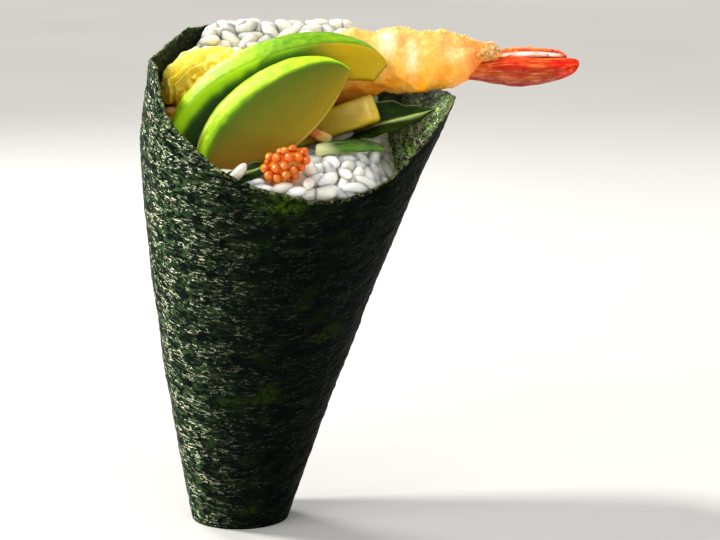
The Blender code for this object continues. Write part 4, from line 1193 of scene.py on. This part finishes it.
def rounded_bar(centre, size, turn, rings, sides, power, relief):
    """Rings of a bar with rounded edges, turned in the plane that faces the front, in millimetres."""
    made = []
    for k in range(rings + 1):
        place = -cos(pi * k / rings)
        place = copysign(abs(place) ** 0.6, place)
        from_end = size[0] / 2 * (1 - abs(place))
        shrink = 1 - 0.16 * ease(0.8, 0, from_end) - 0.5 * ease(0.06, 0, from_end)
        x = place * size[0] / 2
        ring = []
        for angle in around(sides):
            reach = (abs(cos(angle)) ** power + abs(sin(angle)) ** power) ** (-1 / power)
            deep = size[1] / 2 * reach * cos(angle) * shrink
            up = size[2] / 2 * reach * sin(angle) * shrink
            extra = 1 + relief * wave(x / 3, deep / 2.2, up / 2.2)
            deep, up = deep * extra, up * extra
            across, rise = x * cos(turn) - up * sin(turn), x * sin(turn) + up * cos(turn)
            ring.append(leaning_mm(centre[0] + across, centre[1] + rise, centre[2] + deep))
        made.append(ring)
    return made


def make_baton():
    half = BATON_SIZE[0] / 2
    centre = BATON_END[0] - half * cos(BATON_RISE), BATON_END[1] - half * sin(BATON_RISE), BATON_END[2]
    look = Look(
        "baton", (0.5, 0.004, (1.0, 0.8, 0.15)), Coat_Weight=0.1, Coat_Roughness=0.3, Specular_IOR_Level=0.3,
    )
    fibre = look.noise((9, 1.4, 1.4))
    colour = look.ramp(fibre, (0.3, (160, 138, 0)), (0.5, (166, 144, 0)), (0.75, (176, 156, 6)))
    look.finish(colour, look.bump(look.noise(1.2), 0.12, 0.5), look.ramp(fibre, (0.3, 0.3), (0.7, 0.42)))
    rings = rounded_bar(centre, BATON_SIZE, BATON_RISE, 70, 96, 11, 0.012)
    make_lofted("radish_baton_cut", look.material, "baton_flesh", "radish_baton", rings)


def make_meat():
    rings = rounded_bar(MEAT_CENTRE, MEAT_SIZE, MEAT_TILT, 40, 48, 3.2, 0.16)
    colours = []
    for k, ring in enumerate(rings):
        share = 0.5 - 0.5 * cos(pi * k / 40)
        for i in range(len(ring)):
            cream = ease(0.44, 0.56, share + 0.1 * wave(i / 5, 3.3, 1.1))
            colours.append(layered((196, 84, 0), ((222, 184, 92), cream)))
    look = Look("cooked_meat", (0.2, 0.0015, (1.0, 0.6, 0.25)), Coat_Weight=0.3, Coat_Roughness=0.2)
    fibre = look.noise((3, 0.4, 0.4))
    colour = look.mix(look.ramp(fibre, (0.4, 0.0), (0.7, 0.4)), look.tint(), (252, 206, 110))
    look.finish(colour, look.bump(fibre, 0.2, 0.8), look.ramp(fibre, (0.3, 0.3), (0.7, 0.5)))
    colours += [linear((214, 84, 8)), linear((240, 196, 138))]
    make_lofted("cooked_meat_scrap", look.material, "cooked_meat", "crab_piece", rings, tint=colours)


def make_leaf(name, node, stations, steps, across, look):
    grid, shares, ribs = [], [], []
    for k in range(steps + 1):
        reach = k / steps if name == "leaf_blade" else 0.75
        x = stations[0][0] + (stations[-1][0] - stations[0][0]) * k / steps
        up, depth, low_up, low_depth, high_up, high_depth = through(stations, x)
        row = []
        for i in range(across + 1):
            share = 2 * i / across - 1
            side = (-share * low_up, -share * low_depth) if share < 0 else (share * high_up, share * high_depth)
            curl = 0.25 * share * share * sin(1.1 * x + 2 * share)
            curl += 0.10 * wave(x / 2.2, share * 2, 5.1)
            row.append(leaning_mm(x, up + side[0] + curl, depth + side[1]))
            shares.append(share)
            wide = 0.07 + 0.3 * ease(0.6, 1.0, reach - (0.0 if share < 0 else 0.5))
            ribs.append(exp(-(share / wide) ** 2) * (0.3 + 0.7 * ease(0.35, 0.75, reach)))
        grid.append(row)
    shape = Shape()
    width = across + 1
    sides = []
    for way in (1, -1):
        points = []
        for k, row in enumerate(grid):
            for i, point in enumerate(row):
                run = grid[min(k + 1, steps)][i] - grid[max(k - 1, 0)][i]
                normal = run.cross(row[min(i + 1, across)] - row[max(i - 1, 0)]).normalized()
                share = 2 * i / across - 1
                thick = 0.3 + 0.7 * ease(1, 0.8, abs(share)) + 0.8 * exp(-(share / 0.05) ** 2)
                points.append(point + normal * (way * thick * LEAF_THICKNESS / 2))
        sides.append(len(shape.points))
        shape.add(points, grid_faces(steps + 1, width), across=shares, rib=ribs)
    border = [(0, i) for i in range(across)] + [(k, across) for k in range(steps)]
    border += [(steps, i) for i in range(across, 0, -1)] + [(k, 0) for k in range(steps, 0, -1)]
    border = [k * width + i for k, i in border]
    for here, after in zip(border, border[1:] + border[:1]):
        shape.faces.append((sides[0] + here, sides[0] + after, sides[1] + after, sides[1] + here))
    shape.make(name, look, "leaf_green", node)


def leaf_look():
    look = Look("leaf", (0.1, 0.001), Specular_IOR_Level=0.04)
    across = look.value("across")
    ripples = look.maths("SINE", look.times(across, 62.0), 0.0)
    veins = look.ramp(look.maths("MULTIPLY_ADD", ripples, 0.5), (0.0, 0.0), (1.0, 1.0))
    cloud = look.noise(4)
    colour = look.layers(
        look.ramp(cloud, (0.3, (6, 20, 0)), (0.7, (18, 40, 2))), (look.times(veins, 0.2), (40, 68, 12)),
        # Painted highlight: a pale line along the leaf's upper edge
        (look.ramp(across, (0.9, 0.0), (0.96, 0.7)), (112, 130, 84)), (look.value("rib"), (140, 156, 96)),
    )
    normal = look.bump(cloud, 0.4, 0.4, look.bump(veins, 0.08, 0.5))
    return look.finish(colour, normal, look.ramp(cloud, (0.3, 0.28), (0.7, 0.42)))


def make_scallion():
    rings, colours = [], []
    start, end = SCALLION[0][0], SCALLION[-1][0]
    green, white = linear((14, 52, 0)), linear((210, 214, 160))
    for k in range(71):
        x = start + (end - start) * k / 70
        up, depth, radius = through(SCALLION, x)
        ring = []
        for angle in around(40):
            top = cos(angle)
            size = radius * (1 + 0.05 * cos(6 * angle + 0.2 * x) + 0.06 * wave(x / 3, 2 * angle, 1))
            size *= 1 - 0.12 * ease(0.6, 0, x - start)
            ring.append(leaning_mm(x, up + size * top, depth + size * sin(angle)))
            colour = layered((62, 110, 2), (green, ease(-0.3, 0.7, top + 0.5 * wave(x / 3, top, 2))))
            colours.append(layered(white, (colour, ease(start + 0.8, start + 6, x + 1.6 * top))))
        rings.append(ring)
    look = Look("scallion", (0.2, 0.002, (0.7, 1.0, 0.3)), Specular_IOR_Level=0.25)
    fibre = look.noise((8, 0.35, 0.35), detail=2.0)
    colour = look.mix(look.ramp(fibre, (0.45, 0.0), (0.7, 0.2)), look.tint(), (190, 212, 110))
    look.finish(colour, look.bump(fibre, 0.12, 0.6), look.ramp(fibre, (0.3, 0.25), (0.7, 0.4)))
    colours += [white, green]
    make_lofted("scallion_length", look.material, "scallion_green", "scallion", rings, tint=colours)


# Light, floor and camera

def toward(way):
    """The turn of a light that shines this way."""
    return Vector(way).to_track_quat("-Z", "Y").to_euler()


def make_studio():
    mesh = bpy.data.meshes.new("floor")
    corners = [(-FLOOR_REACH, -FLOOR_REACH, 0), (FLOOR_REACH, -FLOOR_REACH, 0)]
    corners += [(FLOOR_REACH, FLOOR_REACH, 0), (-FLOOR_REACH, FLOOR_REACH, 0)]
    mesh.from_pydata(corners, [], [(0, 1, 2, 3)])
    floor = link("floor", mesh)
    look = Look("floor", Roughness=0.75, Specular_IOR_Level=0.2)
    cloud = look.noise(400, detail=2.0)
    mesh.materials.append(look.finish(look.ramp(cloud, (0.3, (186, 185, 182)), (0.7, (191, 190, 187)))))
    world = bpy.data.worlds.new("studio")
    world.use_nodes = True
    air = world.node_tree.nodes["Background"]
    air.inputs["Color"].default_value, air.inputs["Strength"].default_value = AIR_COLOUR, AIR_POWER
    bpy.context.scene.world = world
    sun = bpy.data.lights.new("key", "SUN")
    sun.energy, sun.angle, sun.color = KEY_POWER, KEY_ANGLE, KEY_COLOUR
    link("key", sun).rotation_euler = toward(KEY_WAY)
    for name, place, aim, size, power, colour, spread in LIGHTS:
        data = bpy.data.lights.new(name, "AREA")
        data.size, data.energy, data.color, data.spread = size, power, colour, radians(spread)
        light = link(name, data)
        light.location = place
        light.rotation_euler = toward(Vector(aim) - Vector(place))
    bpy.context.scene.view_settings.view_transform = "Standard"
    data = bpy.data.cameras.new("camera")
    data.lens, data.sensor_width = CAMERA_LENS, 36
    camera = link("camera", data)
    camera.location = CAMERA_PLACE
    camera.rotation_euler = (pi / 2 - LEAN, 0, 0)
    bpy.context.scene.camera = camera


def main():
    make_studio()
    make_nori()
    make_rice(rice_look())
    make_batter()
    make_crumbs()
    make_tail()
    green = avocado_look()
    make_slice("avocado_slice_front", "avocado_front", FRONT_SLICE, green)
    make_slice("avocado_slice_back", "avocado_back", BACK_SLICE, green)
    make_roe()
    make_baton()
    make_meat()
    leaf = leaf_look()
    make_leaf("leaf_blade", "leaf", LEAF, 96, 24, leaf)
    make_leaf("leaf_blade_end", "leaf_end", LEAF_END, 40, 16, leaf)
    make_scallion()


main()
